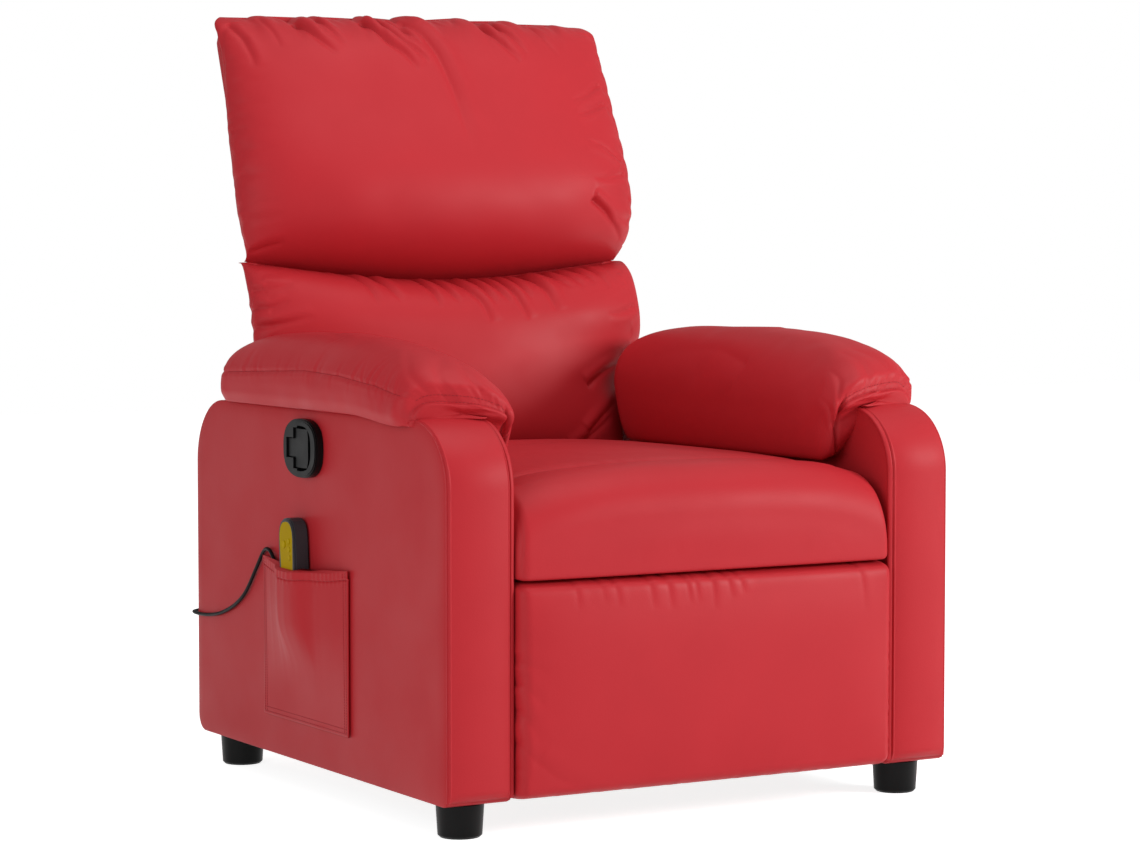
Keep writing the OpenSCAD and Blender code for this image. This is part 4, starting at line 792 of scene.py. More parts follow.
def seat_section(t, inset):
    """Side view of the seat cushion at t, from -1 to 1 across, as (depth, height): crease, upright
    front with a small lower radius, rolled nose, crowned top with a cross seam, rear roll and flat
    underside, all inset at the cushion's ends."""
    side = 1 - dome(t, 5)
    top = 0.445 + 0.016 * dome(t, 2.2) - 0.008 * side - inset
    low, deck, rear = 0.3250 + 0.3 * inset, 0.348, 0.617 - inset
    front = -0.0125 + 0.004 * side + inset
    roll = 0.060 + 0.018 * side
    nose = arc(front + roll, top - roll, roll, 180, 90, 36)
    foot = arc(front + 0.006, low + 0.006, 0.006, 265, 185, 12)
    under = np.array([[0.060, low + 0.001], [0.030, low]])
    over = smooth_path([[front + roll + 0.018, top], [0.106, top - 0.0015], [0.135, top + 0.0005],
                        [0.25, top + 0.003], [0.40, top + 0.003], [0.55, top],
                        [rear - 0.012, top - 0.010], [rear, top - 0.032], [rear, deck + 0.012],
                        [rear - 0.006, deck]], 8)

    def crowd(p):
        """Closer points over the rolled front, and closest at its lower edge."""
        at_foot = (p[:, 0] < 0.02) & (p[:, 1] < 0.345)
        return np.where(p[:, 0] < 0.13, 2.6, 1) * np.where(at_foot, 2.4, 1)
    return even(np.vstack([under, foot, nose, over, [[0.060, deck]]]), 160, closed=True, crowd=crowd)


def cushion_grid(section, half, radius, n, hub):
    """A cushion between two sides: its sections across, and rings that close each end about a hub."""
    ring, x = rounded_ends(section, half, radius, n)
    grid = in_chair(x[:, None], ring[..., 0], ring[..., 1])
    inner = np.array([0.12, 0.4, 0.7, 0.94])[:, None, None]
    first, last = (grid[row] + (in_chair(x[row], *hub) - grid[row]) * inner for row in (0, -1))
    return np.concatenate([first[::-1], grid, last])


def blown_cushion(name, grid, held):
    """A cushion's grid after its filling has swelled it, its ends held, and its x, depth and z."""
    held[:6] = held[-6:] = True
    grid = refine(filled(name, grid, held, limit=0.003, slack=0.0, calm=16), 1)
    return grid, grid[..., 0], grid[..., 1] - FRONT, grid[..., 2]


# Soft folds over the seat: mm across and mm back
SEAT_FOLDS = (
    (16, 2.0, -270, 50, -240, 160, -250, 300),
    (16, 2.0, 260, 60, 235, 160, 250, 280),
    (20, 1.8, -160, 400, 0, 430, 170, 410))


def make_seat():
    """Seat cushion: its cross seam lies back by 12 mm * (x / half width)^2 towards the sides, with
    gathers behind it and over the front edge."""
    grid = cushion_grid(seat_section, SEAT_HALF, 0.016, 74, (0.043, 0.372))
    held = (grid[..., 2] < 0.36) | (grid[..., 1] - FRONT > 0.58)
    grid, x, y, z = blown_cushion("seat", grid, held)
    up = ease((z - 0.40) / 0.02)
    line = 0.100 + 0.012 * (x / SEAT_HALF) ** 2
    move = up * (0.6 * seam(y - line, 0.3) - 0.0022 * hump(y - line, 0.010))
    move += up * gathers(x, y - line, (-0.25, 0.25), 12, 0.05, 0.008, 0.0007, 71)
    front = (y < 0.08) * ease((z - 0.335) / 0.02)
    move += front * gathers(x, z - 0.336, (-0.27, 0.27), 9, 0.030, 0.007, 0.0006, 75)
    move += up * folds(x, y, SEAT_FOLDS)
    finished_pad("seat_cover", grid, move, "chair_base", "seat_cushion", 0.8)


def rest_section(t, inset):
    """Side view of the footrest pad at t across, as (depth, height): a gently crowned front with
    small upper and lower radii, and a flat back, inset at its ends."""
    side = 1 - dome(t, 6)
    top, bottom, back = 0.3240 - 0.4 * inset, 0.046 + 0.5 * inset, 0.046
    high, middle = (top - bottom) / 2, (top + bottom) / 2
    s = np.cos(np.linspace(0, np.pi, 400))
    deep = 0.0560 - 0.003 * side - inset
    front = np.stack([back - 0.006 - deep * np.maximum(0, 1 - np.abs(s) ** 30) ** 0.5
                      - 0.006 * dome(s, 2.2) * (1 - side), middle + high * s], -1)
    rear = np.stack([np.full(30, back), middle - high * 0.985 * np.linspace(1, -1, 30)], -1)
    return even(np.vstack([front, rear]), 160, closed=True, crowd=lambda p: np.where(p[:, 1] > 0.305, 2.4, 1))


# Pleats of the footrest: mm across and mm up
REST_FOLDS = (
    (4, 2.6, -213, 332, -207, 312, -206, 286),
    (4, 2, -175, 332, -169, 312, -167, 292),
    (4, 2.4, -154, 332, -148, 308, -147, 286),
    (4.5, 2.8, -104, 332, -98, 312, -95, 281),
    (4.5, 2.8, -77, 332, -71, 309, -69, 279),
    (3.5, 2.8, -50, 332, -43, 313, -40, 285),
    (3.5, 2.8, -37, 332, -30, 309, -28, 286),
    (4.5, 3, -10, 332, -4, 308, -4, 276),
    (4, 2.6, 15, 332, 21, 309, 24, 288),
    (4, 2.6, 30, 332, 39, 311, 42, 294),
    (4.5, 2.6, 224, 328, 231, 303, 233, 262),
    (6, 3, -300, 228, -276, 220, -246, 209),
    (6, 3.5, -300, 207, -278, 190, -254, 167),
    (7, 3.5, -300, 182, -279, 155, -258, 118),
    (6, 3, -300, 136, -279, 112, -258, 90),
    (7, 2.5, -266, 100, -230, 72, -180, 58))


def make_footrest():
    """Footrest pad: pleats from its upper seam and its right side, and gathers round its edges."""
    grid = cushion_grid(rest_section, SEAT_HALF, 0.014, 92, (0.020, 0.185))
    held = (grid[..., 1] - FRONT > 0.034) | (grid[..., 2] > 0.312) | (grid[..., 2] < 0.056)
    grid, x, y, z = blown_cushion("footrest", grid, held)
    front = ease((0.036 - y) / 0.02)
    move = folds(x, z, REST_FOLDS, 1.1, 0.45)
    for side, seed in ((1, 81), (-1, 82)):
        move = move + gathers(z, SEAT_HALF - side * x, (0.06, 0.24), 11, 0.020, 0.0045, 0.0008, seed)
    move = move + gathers(x, z - 0.048, (-0.27, 0.27), 10, 0.02, 0.006, 0.0005, 84)
    finished_pad("footrest_cover", grid, front * move, "footrest", "footrest_pad", 0.8)


# ---- back

PILLOW_BASE = -0.0097  # w of the pillows' backs
SPLIT, BACK_LEN = 0.386, 0.752  # u of the crease's ends and of the top seam
SAG = 0.030  # how far the crease sags in its middle
BACK_HALF = 0.282  # half width of the back at its foot
PILLOW_HALF, PILLOW_DEEP = 0.30, 0.09  # a pillow's usual half width and depth


def pillow_profile(n):
    """Section of a boxed pillow from one back edge over the front to the other, as the share of the
    half width and of the height: |X|^5.5 + W^2.8 = 1."""
    a = np.linspace(0, np.pi, 4000)
    x, w = -signed_power(np.cos(a), 2 / 5.5), np.maximum(0, np.sin(a)) ** (2 / 2.8)
    line = even(np.stack([x * PILLOW_HALF, w * PILLOW_DEEP], -1), n)
    return line[:, 0] / PILLOW_HALF, line[:, 1] / PILLOW_DEEP


def pillow_grid(shape, rings, front_n=84, back_n=18):
    """Boxed pillow on the back: the profile scaled at each station to that station's half width, edge
    height and crown, its sides bulging by up to a tenth above the arms, stations at equal steps over
    its front, and a flat back with fewer points. Also gives the number of points on its front."""
    s = np.linspace(0, 1, 3000)
    _, u, _, edge, crown = shape(s)
    line = even(np.stack([s * 1e-6, u, edge + crown], -1), rings)
    u_side, u_mid, half, edge, crown = (v[:, None] for v in shape(line[:, 0] * 1e6))
    x, w = pillow_profile(front_n)
    bow = dome(x, 2.0)[None, :]
    free = ease((u_mid - 0.20) / 0.06)
    bulge = 1 - 0.035 * free + 0.10 * free * 4 * w * (1 - w)
    front = on_back(half * x * bulge + 0.006 * free, u_side + (u_mid - u_side) * bow,
                    PILLOW_BASE + edge * w + crown * bow * w)
    x = np.linspace(1, -1, back_n + 2)[None, 1:-1]
    back = on_back(half * (0.99 - 0.035 * free) * x + 0.006 * free,
                   u_side + (u_mid - u_side) * dome(x, 2.0), PILLOW_BASE - 0.001)
    return np.concatenate([front, back], 1), front_n


def blown_pillow(name, shape, rings, slack):
    """A pillow's grid after its filling has swelled its front, and its x, u and w."""
    grid, n = pillow_grid(shape, rings)
    held = np.ones(grid.shape[:2], bool)
    held[1:-1, 2:n - 2] = False
    grid = refine(filled(name, grid, held, limit=0.006, slack=slack, calm=8), 2)
    return grid, grid[..., 0], *in_back(grid)


def head_shape(s):
    """Head pillow: fullest just above the crease, thinning to the top seam; widest a third up."""
    belly = 0.27
    t = np.clip((s - belly) / (1 - belly), 0, 1)
    low = np.maximum(0, 1 - np.abs(1 - np.minimum(1, s / belly)) ** 2.7) ** 0.5
    high = (1 - 0.09 * ease(t / 0.5) - 0.42 * t ** 1.6) * np.maximum(0, 1 - t ** 8) ** 0.5
    deep = (0.108 - PILLOW_BASE - 0.003) * np.where(s < belly, low, high)
    round_ = np.where(s < 0.25, 1 - np.abs(1 - s / 0.25) ** 2.5, 1 - (np.clip(s - 0.25, 0, 1) / 0.75) ** 2)
    half = (BACK_HALF + 0.016 + 0.020 * round_ + 0.008 * ease((s - 0.8) / 0.2)
            - 0.014 * np.clip((s - 0.955) / 0.045, 0, 1) ** 2)
    u = SPLIT + (BACK_LEN - SPLIT) * s
    return u, u - SAG * (1 - ease(s / 0.5)) + 0.006 * ease((s - 0.6) / 0.4), half, deep * 0.88, deep * 0.12


def lumbar_shape(s):
    """Lumbar pillow: full along its lower edge, drawn in between the arm pads, filling out above
    them."""
    grow = ease((s - 0.5) / 0.25)
    full = ease((s - 0.38) / 0.12) * (1 - 0.1 * ease((s - 0.9) / 0.1))
    half = BACK_HALF + 0.0045 + 0.0225 * full
    swell = np.maximum(0, 1 - np.abs(2 * s - 1) ** np.where(s > 0.5, 5, 3)) ** 0.5
    deep = 0.080 - PILLOW_BASE - 0.003
    edge = deep * (0.56 + 0.36 * grow + 0.30 * (1 - ease((s - 0.02) / 0.10))) * swell
    u = 0.044 + (SPLIT - 0.002 - 0.044) * s
    return u, u - SAG * ease((s - 0.5) / 0.5), half, edge, deep * swell - edge


# Dents that pleats pull into the head pillow's top edge, by mm across, and side edges, by mm up
HEAD_NOTCHES = (
    (-262, 9, 3.5), (-196, 8, 6), (-161, 6, 3.5), (-88, 8, 6), (-62, 6, 4), (-26, 7, 4.5), (36, 8, 2.5),
    (75, 7, 2), (114, 8, 5), (138, 6, 3), (195, 9, 3), (246, 8, 4))
HEAD_PINCHES = (
    (432, 7, 4.5), (455, 6, 3), (497, 7, 3), (533, 8, 3.5), (566, 6, 2.2), (606, 7, 3), (640, 7, 3),
    (676, 7, 3), (708, 6, 2.5))

# Pleats of the head pillow and of the lumbar pillow: mm across and mm up the back
HEAD_FOLDS = (
    (8, 6, -196, 745, -177, 712, -165, 696, -152, 680),
    (5.5, 3.5, -161, 745, -144, 714, -132, 700),
    (7.5, 7, -88, 745, -63, 706, -43, 685, -27, 656),
    (5.5, 4.5, -66, 745, -43, 712, -19, 688, -6, 668),
    (13, 5, -26, 745, -2, 716, 10, 691, 15, 667, 23, 625, 27, 584, 30, 530),
    (5, 4, -44, 745, -21, 720, -8, 700),
    (7, 5.5, 112, 745, 130, 713, 141, 695, 155, 676),
    (5.5, 4, 135, 745, 155, 717, 171, 692),
    (7, 6, 232, 455, 260, 439, 279, 425, 305, 406),
    (6, 3, 300, 648, 259, 625, 230, 614),
    (6, 3, 300, 616, 258, 598, 232, 590),
    (7, 3, 310, 522, 275, 540, 240, 549),
    (7, 3, 312, 500, 272, 490, 240, 487),
    (7, 4.5, -330, 372, -300, 392, -262, 400),
    (7.5, 3.5, -300, 735, -285, 700, -280, 660),
    (6, 2.5, -250, 745, -240, 715, -236, 690),
    (6, 2.5, 205, 745, 215, 715, 230, 690))

LUMBAR_FOLDS = (
    (7.5, 6, -136, 376, -116, 335, -100, 302),
    (7, 4.5, -171, 380, -148, 336, -140, 298),
    (6, 5, -55, 366, -45, 323, -40, 294),
    (5.5, 5, -28, 366, -16, 320, -6, 300),
    (7, 6, -5, 366, 21, 319, 31, 298, 37, 268),
    (6, 5, 30, 368, 45, 322, 54, 298),
    (6, 5, 50, 368, 68, 322, 79, 299),
    (6.5, 5.5, 70, 370, 88, 322, 95, 297, 102, 272),
    (5.5, 4.5, 92, 372, 109, 325, 116, 306),
    (8.5, 7.5, 118, 376, 141, 334, 148, 312, 152, 286),
    (6.5, 5, 152, 378, 174, 346, 193, 324),
    (6.5, 5, 176, 380, 196, 352, 216, 326),
    (6.5, 5, 202, 380, 224, 355, 240, 332),
    (7.5, 5, 230, 380, 252, 352, 262, 322),
    (6, 4.5, -318, 306, -296, 303, -272, 312),
    (6.5, 4.5, -318, 278, -290, 277, -240, 284),
    (6, 4, -316, 332, -290, 331, -262, 336),
    (7.5, 4.5, 200, 172, 235, 194, 276, 214),
    (7.5, 4.5, 195, 102, 228, 130, 268, 156),
    (7.5, 4.5, 165, 76, 203, 100, 256, 136),
    (6.5, 3.5, 310, 300, 280, 286, 250, 284))


def make_head_pillow():
    """Head pillow: the swelled grid, notched at each pleat of its seams, then pleats, gathers and the
    groove of its side panels."""
    grid, x, u, w = blown_pillow("head", head_shape, 54, 0.01)
    # The top and side seams draw the edge in at each pleat
    notch = dents(x, HEAD_NOTCHES)
    swell_up = 0.0030 * np.sin(2 * np.pi * x / 0.083 + 1) * dome(x / PILLOW_HALF, 6)
    rise = ease((u - 0.690) / 0.050) * (swell_up + 0.0030 + 0.0035 * ease((x + 0.12) / 0.12) - notch)
    pinch = dents(u, HEAD_PINCHES)
    grid = grid + rise[..., None] * np.array([0, math.sin(LEAN), math.cos(LEAN)])
    grid[..., 0] -= 0.55 * np.sign(x) * pinch * ease((np.abs(x) - 0.262) / 0.03) * ease((w - 0.004) / 0.02)
    front = ease((w - 0.004) / 0.02)
    move = folds(x, u, HEAD_FOLDS, 0.75, 1.05)
    gusset = (np.abs(x) > 0.275) * hump(w - 0.016, 0.0032) * (u > 0.40) * (u < 0.735)
    move = move - 0.0014 * gusset
    top = 0.748 + 0.006 * dome(x / PILLOW_HALF, 2)
    move = move + gathers(x, top - u, (-0.28, 0.28), 26, 0.030, 0.0045, 0.0026, 101)
    for side, seed in ((1, 105), (-1, 106)):
        move = move + gathers(u, 0.320 - side * x, (0.42, 0.72), 13, 0.030, 0.0055, 0.0014, seed)
    # The side panels between the pillow's front and the back's edge
    beside = (np.abs(x) > 0.27) * ease((w + 0.006) / 0.01)
    move = front * move + beside * gathers(u, w + 0.010, (0.40, 0.74), 11, 0.05, 0.0060, 0.0014, 107)
    finished_pad("head_cushion", grid, move, "back", "head_pillow", 0.7)


def make_lumbar_pillow():
    """Lumbar pillow: the swelled grid, then its pleats and gathers."""
    grid, x, u, w = blown_pillow("lumbar", lumbar_shape, 46, 0.012)
    front = ease((w - 0.004) / 0.02)
    sag = SAG * dome(x / PILLOW_HALF, 2)
    move = folds(x, u, LUMBAR_FOLDS, 0.8, 0.85)
    move = move + gathers(x, 0.384 - sag - u, (-0.27, 0.28), 26, 0.024, 0.0034, 0.0020, 111)
    for side, seed in ((1, 115), (-1, 116)):
        move = move + gathers(u, 0.300 - side * x, (0.18, 0.37), 9, 0.040, 0.0060, 0.0012, seed)
    finished_pad("lumbar_cushion", grid, front * move, "back", "lumbar_pillow", 0.7)


def back_outline(n):
    """Outline of the back's rear cover in its own plane: straight between the arms, wider to its top."""
    r, top, wide = 0.026, 0.746, BACK_HALF + 0.016
    right = np.vstack([[[BACK_HALF, 0.036], [BACK_HALF, 0.346], [wide, top - r]],
                       arc(wide - r, top - r, r, 5, 90, 30)])
    return even(np.vstack([right, right[::-1] * [-1, 1]]), n, closed=True)


def make_back_cover():
    """Rear cover of the back: its outline in rings from the middle of the front face, round the edge
    and in to the middle of the rear face, with rounded edges."""
    middle, reach = np.array([0, 0.39]), np.array([0.282, 0.355])
    t = np.radians(np.linspace(0, 90, 7))
    front, rear, r = -0.012, -0.038, 0.007
    flat = np.linspace(0.275, 0.016, 20)
    rows = [(front, d) for d in flat]
    rows += [(front - 0.002 + 0.002 * math.cos(a), 0.002 * (1 - math.sin(a))) for a in t]
    rows += [(rear + r - r * math.sin(a), r * (1 - math.cos(a))) for a in t]
    rows += [(rear - 0.0015 * min(1, d / 0.06), d) for d in flat[::-1]]
    rows = np.array(rows)
    ring = inset_rings(back_outline(280), middle, reach, rows[:, 1])
    piece = ring_piece("back_cover", on_back(ring[..., 0], ring[..., 1], rows[:, :1]))
    dress(piece, "leather_panel", "back", "side_leather", "back_shell")


# ---- cord

CORD_D = 0.005  # thickness of the cord
HANDSET_Y, HANDSET_Z = 0.412, 0.379 - 0.0675  # depth and height of the handset's middle
HANDSET_TILT, HANDSET_END = math.radians(4), 0.0595  # its lean, and from its middle to the cord


def cord_route():
    """Route of the handset's cord in metres, from the gland in the arm's rear face round the arm's
    edge, along its side, over the pocket's rim and up into the handset's lower end."""
    lean, rise = math.sin(HANDSET_TILT), math.cos(HANDSET_TILT)
    low_y, low = HANDSET_Y - HANDSET_END * lean, HANDSET_Z - HANDSET_END * rise
    side = HALF + CORD_D / 2 + 0.0005
    points = [[0.397, low_y - d * lean, low - d * rise] for d in (0, 0.006, 0.012)]
    points += [[0.398, 0.408, 0.228], [0.398, 0.415, 0.219], [0.397, 0.428, 0.220], [0.395, 0.444, 0.236],
               [0.393, 0.462, 0.270], [0.391, 0.480, 0.303], [0.390, 0.498, 0.322], [0.389, 0.515, 0.328],
               [side, 0.531, 0.322], [side, 0.552, 0.300], [side, 0.588, 0.263], [side, 0.620, 0.243],
               [side, 0.650, 0.231], [side, 0.682, 0.222], [side, 0.715, 0.217], [side, 0.742, 0.215],
               [side, 0.764, 0.215], [0.384, 0.779, 0.215], [0.374, 0.789, 0.215], [0.362, 0.793, 0.2155],
               [0.354, 0.791, 0.216]]
    points += [[0.352, 0.778 + d, 0.216] for d in (0.007, 0.002, -0.004)]
    return smooth_path(np.array(points) * [-1, 1, 1] + [0, FRONT, 0], 6)[::-1]


def make_cord():
    """The handset's cord: a round bevelled curve along its route, ending in the handset."""
    route = cord_route()
    data = bpy.data.curves.new("handset_lead", "CURVE")
    data.dimensions = "3D"
    spline = data.splines.new("POLY")
    spline.points.add(len(route) - 1)
    spline.points.foreach_set("co", np.hstack([route, np.ones((len(route), 1))]).ravel())
    data.bevel_depth = CORD_D / 2
    data.bevel_resolution = 4
    piece = bpy.data.objects.new("handset_lead", data)
    bpy.context.collection.objects.link(piece)
    dress(piece, "cord_pvc", "chair_base", "cord_black", "handset_cord")


# ---- side pocket

POCKET_Y, POCKET_Z, POCKET_L, POCKET_H = 0.268, 0.100, 0.261, 0.219  # front lower corner, length, height

# Upright folds of the pocket: their depth in the chair, height, half width and slant
POCKET_FOLDS = (
    (0.335, 0.0008, 0.006, 0.02), (0.372, 0.0011, 0.006, -0.01), (0.402, 0.0012, 0.007, 0.02),
    (0.428, 0.0016, 0.006, 0.01), (0.450, 0.0014, 0.006, -0.01), (0.474, 0.0016, 0.006, -0.02),
    (0.498, 0.0010, 0.005, -0.01))


def pocket_depth(y, z):
    """How far the pocket stands off the arm: most at the mouth behind the handset, nothing at its
    sewn edges, with upright folds that the hem gathers."""
    ty = 2 * (y - POCKET_Y) / POCKET_L - 1
    tz = (z - POCKET_Z) / POCKET_H
    belly = 0.015 * dome(ty, 2.0) ** 1.3 * ease((tz - 0.15) / 0.7)
    folds = sum(deep * hump(y - at - slant * (1 - tz), wide) for at, deep, wide, slant in POCKET_FOLDS)
    belly = belly + 0.0125 * np.exp(-((y - 0.408) / 0.046) ** 4) * ease((z - 0.172) / 0.075)
    return belly + 0.4 * folds * ease((tz - 0.15) / 0.6) * dome(ty, 4) * (1 - 0.4 * ease((tz - 0.93) / 0.05))


def pocket_point(y, z):
    """A point of the pocket's outer face: the mouth dips towards its middle and front."""
    v, k = (y - POCKET_Y) / POCKET_L, (z - POCKET_Z) / POCKET_H
    dip = (0.010 * dome(2 * v - 1, 1.8) + 0.001 * np.sin(9 * v) ** 2) * ease(k / 0.9) * k
    hem = 0.0012 * ease((z - 0.308) / 0.0012) - 0.0009 * hump(z - 0.3075, 0.0011)
    pucker = (0.0003 * np.sin(2 * np.pi * y / 0.0105 + 3 * np.sin(41 * y)) * ease((z - 0.300) / 0.004)
              * dome(2 * v - 1, 8))
    x = HALF + 0.0034 + pocket_depth(y, z) + hem + pucker
    return in_chair(-x, y, z - dip)


def make_pocket():
    """Side pocket: a flat panel sewn down on three sides that bellies out to its gathered hem."""
    v = np.linspace(0, 1, 200)[None, :]
    k = np.concatenate([np.linspace(0, 0.93, 80), np.linspace(0.935, 1, 24)])[:, None]
    y, z = np.broadcast_arrays(POCKET_Y + POCKET_L * v, POCKET_Z + POCKET_H * k)
    outer = pocket_point(y, z)
    inner = outer + [0.0022, 0, 0]
    piece = ring_piece("pocket_panel", np.concatenate([outer, inner[:, ::-1]], 1))
    dress(piece, "leather_panel", "chair_base", "side_leather", "side_pocket")
    low, high = POCKET_Z + 0.004, POCKET_Z + POCKET_H - 0.011
    left, right = POCKET_Y + 0.004, POCKET_Y + POCKET_L - 0.004
    ys, zs = np.linspace(left, right, 200), np.linspace(low, POCKET_Z + POCKET_H - 0.002, 200)
    lines = [pocket_point(ys, np.full(200, z)) for z in (high, low, low + 0.006)]
    lines += [pocket_point(np.full(200, y), zs) for y in (left, left + 0.006, right, right - 0.006)]
    stitches("pocket_stitches", lines, lambda at: [-1.0, 0, 0], pitch=0.0036)


# ---- frame finishes

def make_frame_finishes():
    """Materials of the CAD nodes that stay as they are."""
    by_slot = {"timber": "rail_pine", "foot_plastic": "foot_polypropylene", "black_plastic": "handle_abs",
               "handset_grey": "handset_abs", "face_yellow": "face_film", "key_yellow": "key_silicone",
               "cord_black": "cord_pvc", "webbing": "webbing", "bright_steel": "zinc_steel",
               "link_steel": "link_steel", "red_leather": "leather_soft", "side_leather": "leather_panel"}
    for part in frame["record"]["subparts"]:
        node = frame["nodes"][part["node"]]
        name = by_slot[part["material_slot"]]
        if part["node"].startswith(("arm_frame", "seat_frame")):
            name = "frame_pine"
        for item in node.material_slots:
            item.material = material(name)


# ---- stage

CHAIR_MIDDLE = 0.55  # height that the lamps face
# Lamps: name, place, size in metres and power in watts
LAMPS = (
    ("key", (2.9, -2.9, 1.65), 1.1, 97.0), ("fill", (-3.4, -1.7, 1.2), 2.2, 33.0),
    ("top", (0.4, -0.6, 3.2), 2.0, 24.0))
CAMERA_LENS = 101.84  # mm, on a 36 mm wide frame
CAMERA_AT = -2.2415, -3.5058, 0.7566  # x, depth from the arms' front line, and height
CAMERA_TURN = 90 - 3.4, 0, -30.12  # degrees: 3.4 down, 30.12 to the side


def make_stage():
    """Pale floor and world, three soft lamps that face the chair's middle, and the camera."""
    matt_white = bpy.data.materials.new("studio_white")
    tree = cleared(matt_white)
    path = add(tree, "LightPath")
    seen = add(tree, "Math", links={0: (path, "Is Camera Ray"), 1: (path, "Is Glossy Ray")},
               operation="MAXIMUM")
    seen = add(tree, "Math", links={0: (seen, "Value"), 1: (path, "Is Transmission Ray")},
               operation="MAXIMUM")
    matt = add(tree, "BsdfDiffuse", {"Color": (0.86, 0.86, 0.86, 1)})
    glow = add(tree, "Emission", {"Color": (1, 1, 1, 1), "Strength": 0.84})
    none = add(tree, "Emission", {"Strength": 0.0})
    lit = add(tree, "MixShader",
              links={0: (seen, "Value"), 1: (none, "Emission"), 2: (glow, "Emission")})
    both = add(tree, "AddShader", links={0: (matt, "BSDF"), 1: (lit, "Shader")})
    add(tree, "OutputMaterial", links={"Surface": (both, "Shader")})
    corners = 9.0 * np.array([[-1, -1, 0], [1, -1, 0], [1, 1, 0], [-1, 1, 0]])
    floor = mesh_of("floor", corners, np.array([[0, 1, 2, 3]]))
    floor.data.materials.append(matt_white)
    world = bpy.data.worlds.new("studio")
    bpy.context.scene.world = world
    tree = cleared(world)
    path = add(tree, "LightPath")
    seen = add(tree, "Math", links={0: (path, "Is Camera Ray"), 1: (path, "Is Transmission Ray")},
               operation="MAXIMUM")
    soft = add(tree, "Background", {"Color": (1, 1, 1, 1), "Strength": 0.37})
    white = add(tree, "Background", {"Color": (1, 1, 1, 1), "Strength": 1.0})
    mix = add(tree, "MixShader",
              links={0: (seen, "Value"), 1: (soft, "Background"), 2: (white, "Background")})
    add(tree, "OutputWorld", links={"Surface": (mix, "Shader")})
    for name, at, size, power in LAMPS:
        lamp = bpy.data.lights.new(name, "AREA")
        lamp.size = size
        lamp.energy = power
        piece = bpy.data.objects.new(name, lamp)
        bpy.context.collection.objects.link(piece)
        piece.location = at
        towards = np.array([0, 0, CHAIR_MIDDLE]) - np.array(at)
        piece.rotation_euler = (math.acos(-towards[2] / np.linalg.norm(towards)), 0,
                                math.atan2(towards[1], towards[0]) - math.pi / 2)
    data = bpy.data.cameras.new("camera")
    data.lens = CAMERA_LENS
    data.sensor_width = 36.0
    data.sensor_fit = "HORIZONTAL"
    data.clip_end = 50
    camera = bpy.data.objects.new("camera", data)
    camera.location = CAMERA_AT[0], FRONT + CAMERA_AT[1], CAMERA_AT[2]
    camera.rotation_euler = [math.radians(angle) for angle in CAMERA_TURN]
    bpy.context.collection.objects.link(camera)
    bpy.context.scene.camera = camera
    bpy.context.scene.view_settings.view_transform = "Standard"


# ---- operators

class CHAIR_OT_stage(bpy.types.Operator):
    """Makes the floor, the lamps, the world and the camera"""
    bl_idname = "chair.stage"
    bl_label = "Stage"

    def execute(self, context):
        make_stage()
        return {"FINISHED"}


class CHAIR_OT_cord(bpy.types.Operator):
    """Lays the handset's cord from its gland to the handset"""
    bl_idname = "chair.cord"
    bl_label = "Handset cord"

    def execute(self, context):
        make_cord()
        return {"FINISHED"}


class CHAIR_OT_frame_finishes(bpy.types.Operator):
    """Gives every carried frame part its material"""
    bl_idname = "chair.frame_finishes"
    bl_label = "Frame finishes"

    def execute(self, context):
        make_frame_finishes()
        return {"FINISHED"}


class CHAIR_OT_arm_covers(bpy.types.Operator):
    """Makes the side panels and the front strips of the arms"""
    bl_idname = "chair.arm_covers"
    bl_label = "Arm covers"

    def execute(self, context):
        make_arm_covers()
        return {"FINISHED"}


class CHAIR_OT_arm_pads(bpy.types.Operator):
    """Makes the padded cushions over the arms"""
    bl_idname = "chair.arm_pads"
    bl_label = "Arm pads"

    def execute(self, context):
        make_arm_pads()
        return {"FINISHED"}


class CHAIR_OT_seat(bpy.types.Operator):
    """Makes the seat cushion's cover"""
    bl_idname = "chair.seat"
    bl_label = "Seat"

    def execute(self, context):
        make_seat()
        return {"FINISHED"}


class CHAIR_OT_footrest(bpy.types.Operator):
    """Makes the footrest's padded cover"""
    bl_idname = "chair.footrest"
    bl_label = "Footrest"

    def execute(self, context):
        make_footrest()
        return {"FINISHED"}


class CHAIR_OT_back_cover(bpy.types.Operator):
    """Makes the rear cover of the back"""
    bl_idname = "chair.back_cover"
    bl_label = "Back cover"

    def execute(self, context):
        make_back_cover()
        return {"FINISHED"}


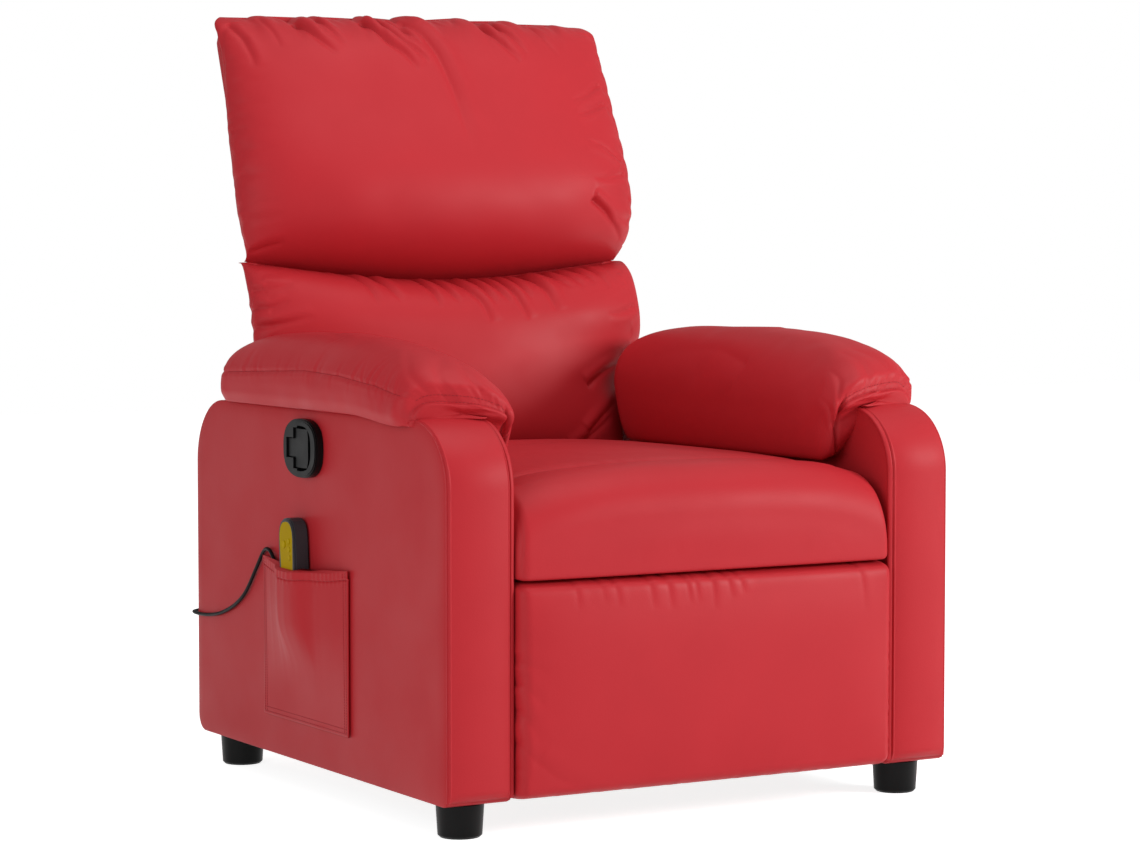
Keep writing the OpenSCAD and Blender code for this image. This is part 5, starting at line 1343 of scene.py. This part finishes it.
class CHAIR_OT_head_pillow(bpy.types.Operator):
    """Makes the head pillow"""
    bl_idname = "chair.head_pillow"
    bl_label = "Head pillow"

    def execute(self, context):
        make_head_pillow()
        return {"FINISHED"}


class CHAIR_OT_lumbar_pillow(bpy.types.Operator):
    """Makes the lumbar pillow"""
    bl_idname = "chair.lumbar_pillow"
    bl_label = "Lumbar pillow"

    def execute(self, context):
        make_lumbar_pillow()
        return {"FINISHED"}


class CHAIR_OT_pocket(bpy.types.Operator):
    """Makes the stitched side pocket"""
    bl_idname = "chair.pocket"
    bl_label = "Side pocket"

    def execute(self, context):
        make_pocket()
        return {"FINISHED"}


OPERATORS = (CHAIR_OT_stage, CHAIR_OT_cord, CHAIR_OT_frame_finishes,
             CHAIR_OT_arm_covers, CHAIR_OT_arm_pads,
             CHAIR_OT_seat, CHAIR_OT_footrest, CHAIR_OT_back_cover,
             CHAIR_OT_head_pillow, CHAIR_OT_lumbar_pillow, CHAIR_OT_pocket)


class CHAIR_PT_panel(bpy.types.Panel):
    """Lists the chair's operators in the sidebar"""
    bl_label = "Armchair"
    bl_idname = "CHAIR_PT_panel"
    bl_space_type = "VIEW_3D"
    bl_region_type = "UI"
    bl_category = "Armchair"

    def draw(self, context):
        for kind in OPERATORS:
            self.layout.operator(kind.bl_idname)


CLASSES = (ChairColours, ChairSizes, *OPERATORS, CHAIR_PT_panel)


def register():
    """Adds the classes and the two property groups to Blender."""
    for kind in CLASSES:
        bpy.utils.register_class(kind)
    bpy.types.Scene.chair_colours = bpy.props.PointerProperty(type=ChairColours)
    bpy.types.Scene.chair_sizes = bpy.props.PointerProperty(type=ChairSizes)


def unregister():
    """Takes them out again."""
    del bpy.types.Scene.chair_colours
    del bpy.types.Scene.chair_sizes
    for kind in reversed(CLASSES):
        bpy.utils.unregister_class(kind)


def main():
    """Runs each operator in turn."""
    register()
    for kind in OPERATORS:
        getattr(bpy.ops.chair, kind.bl_idname.split(".")[1])()


if __name__ == "__main__":
    main()
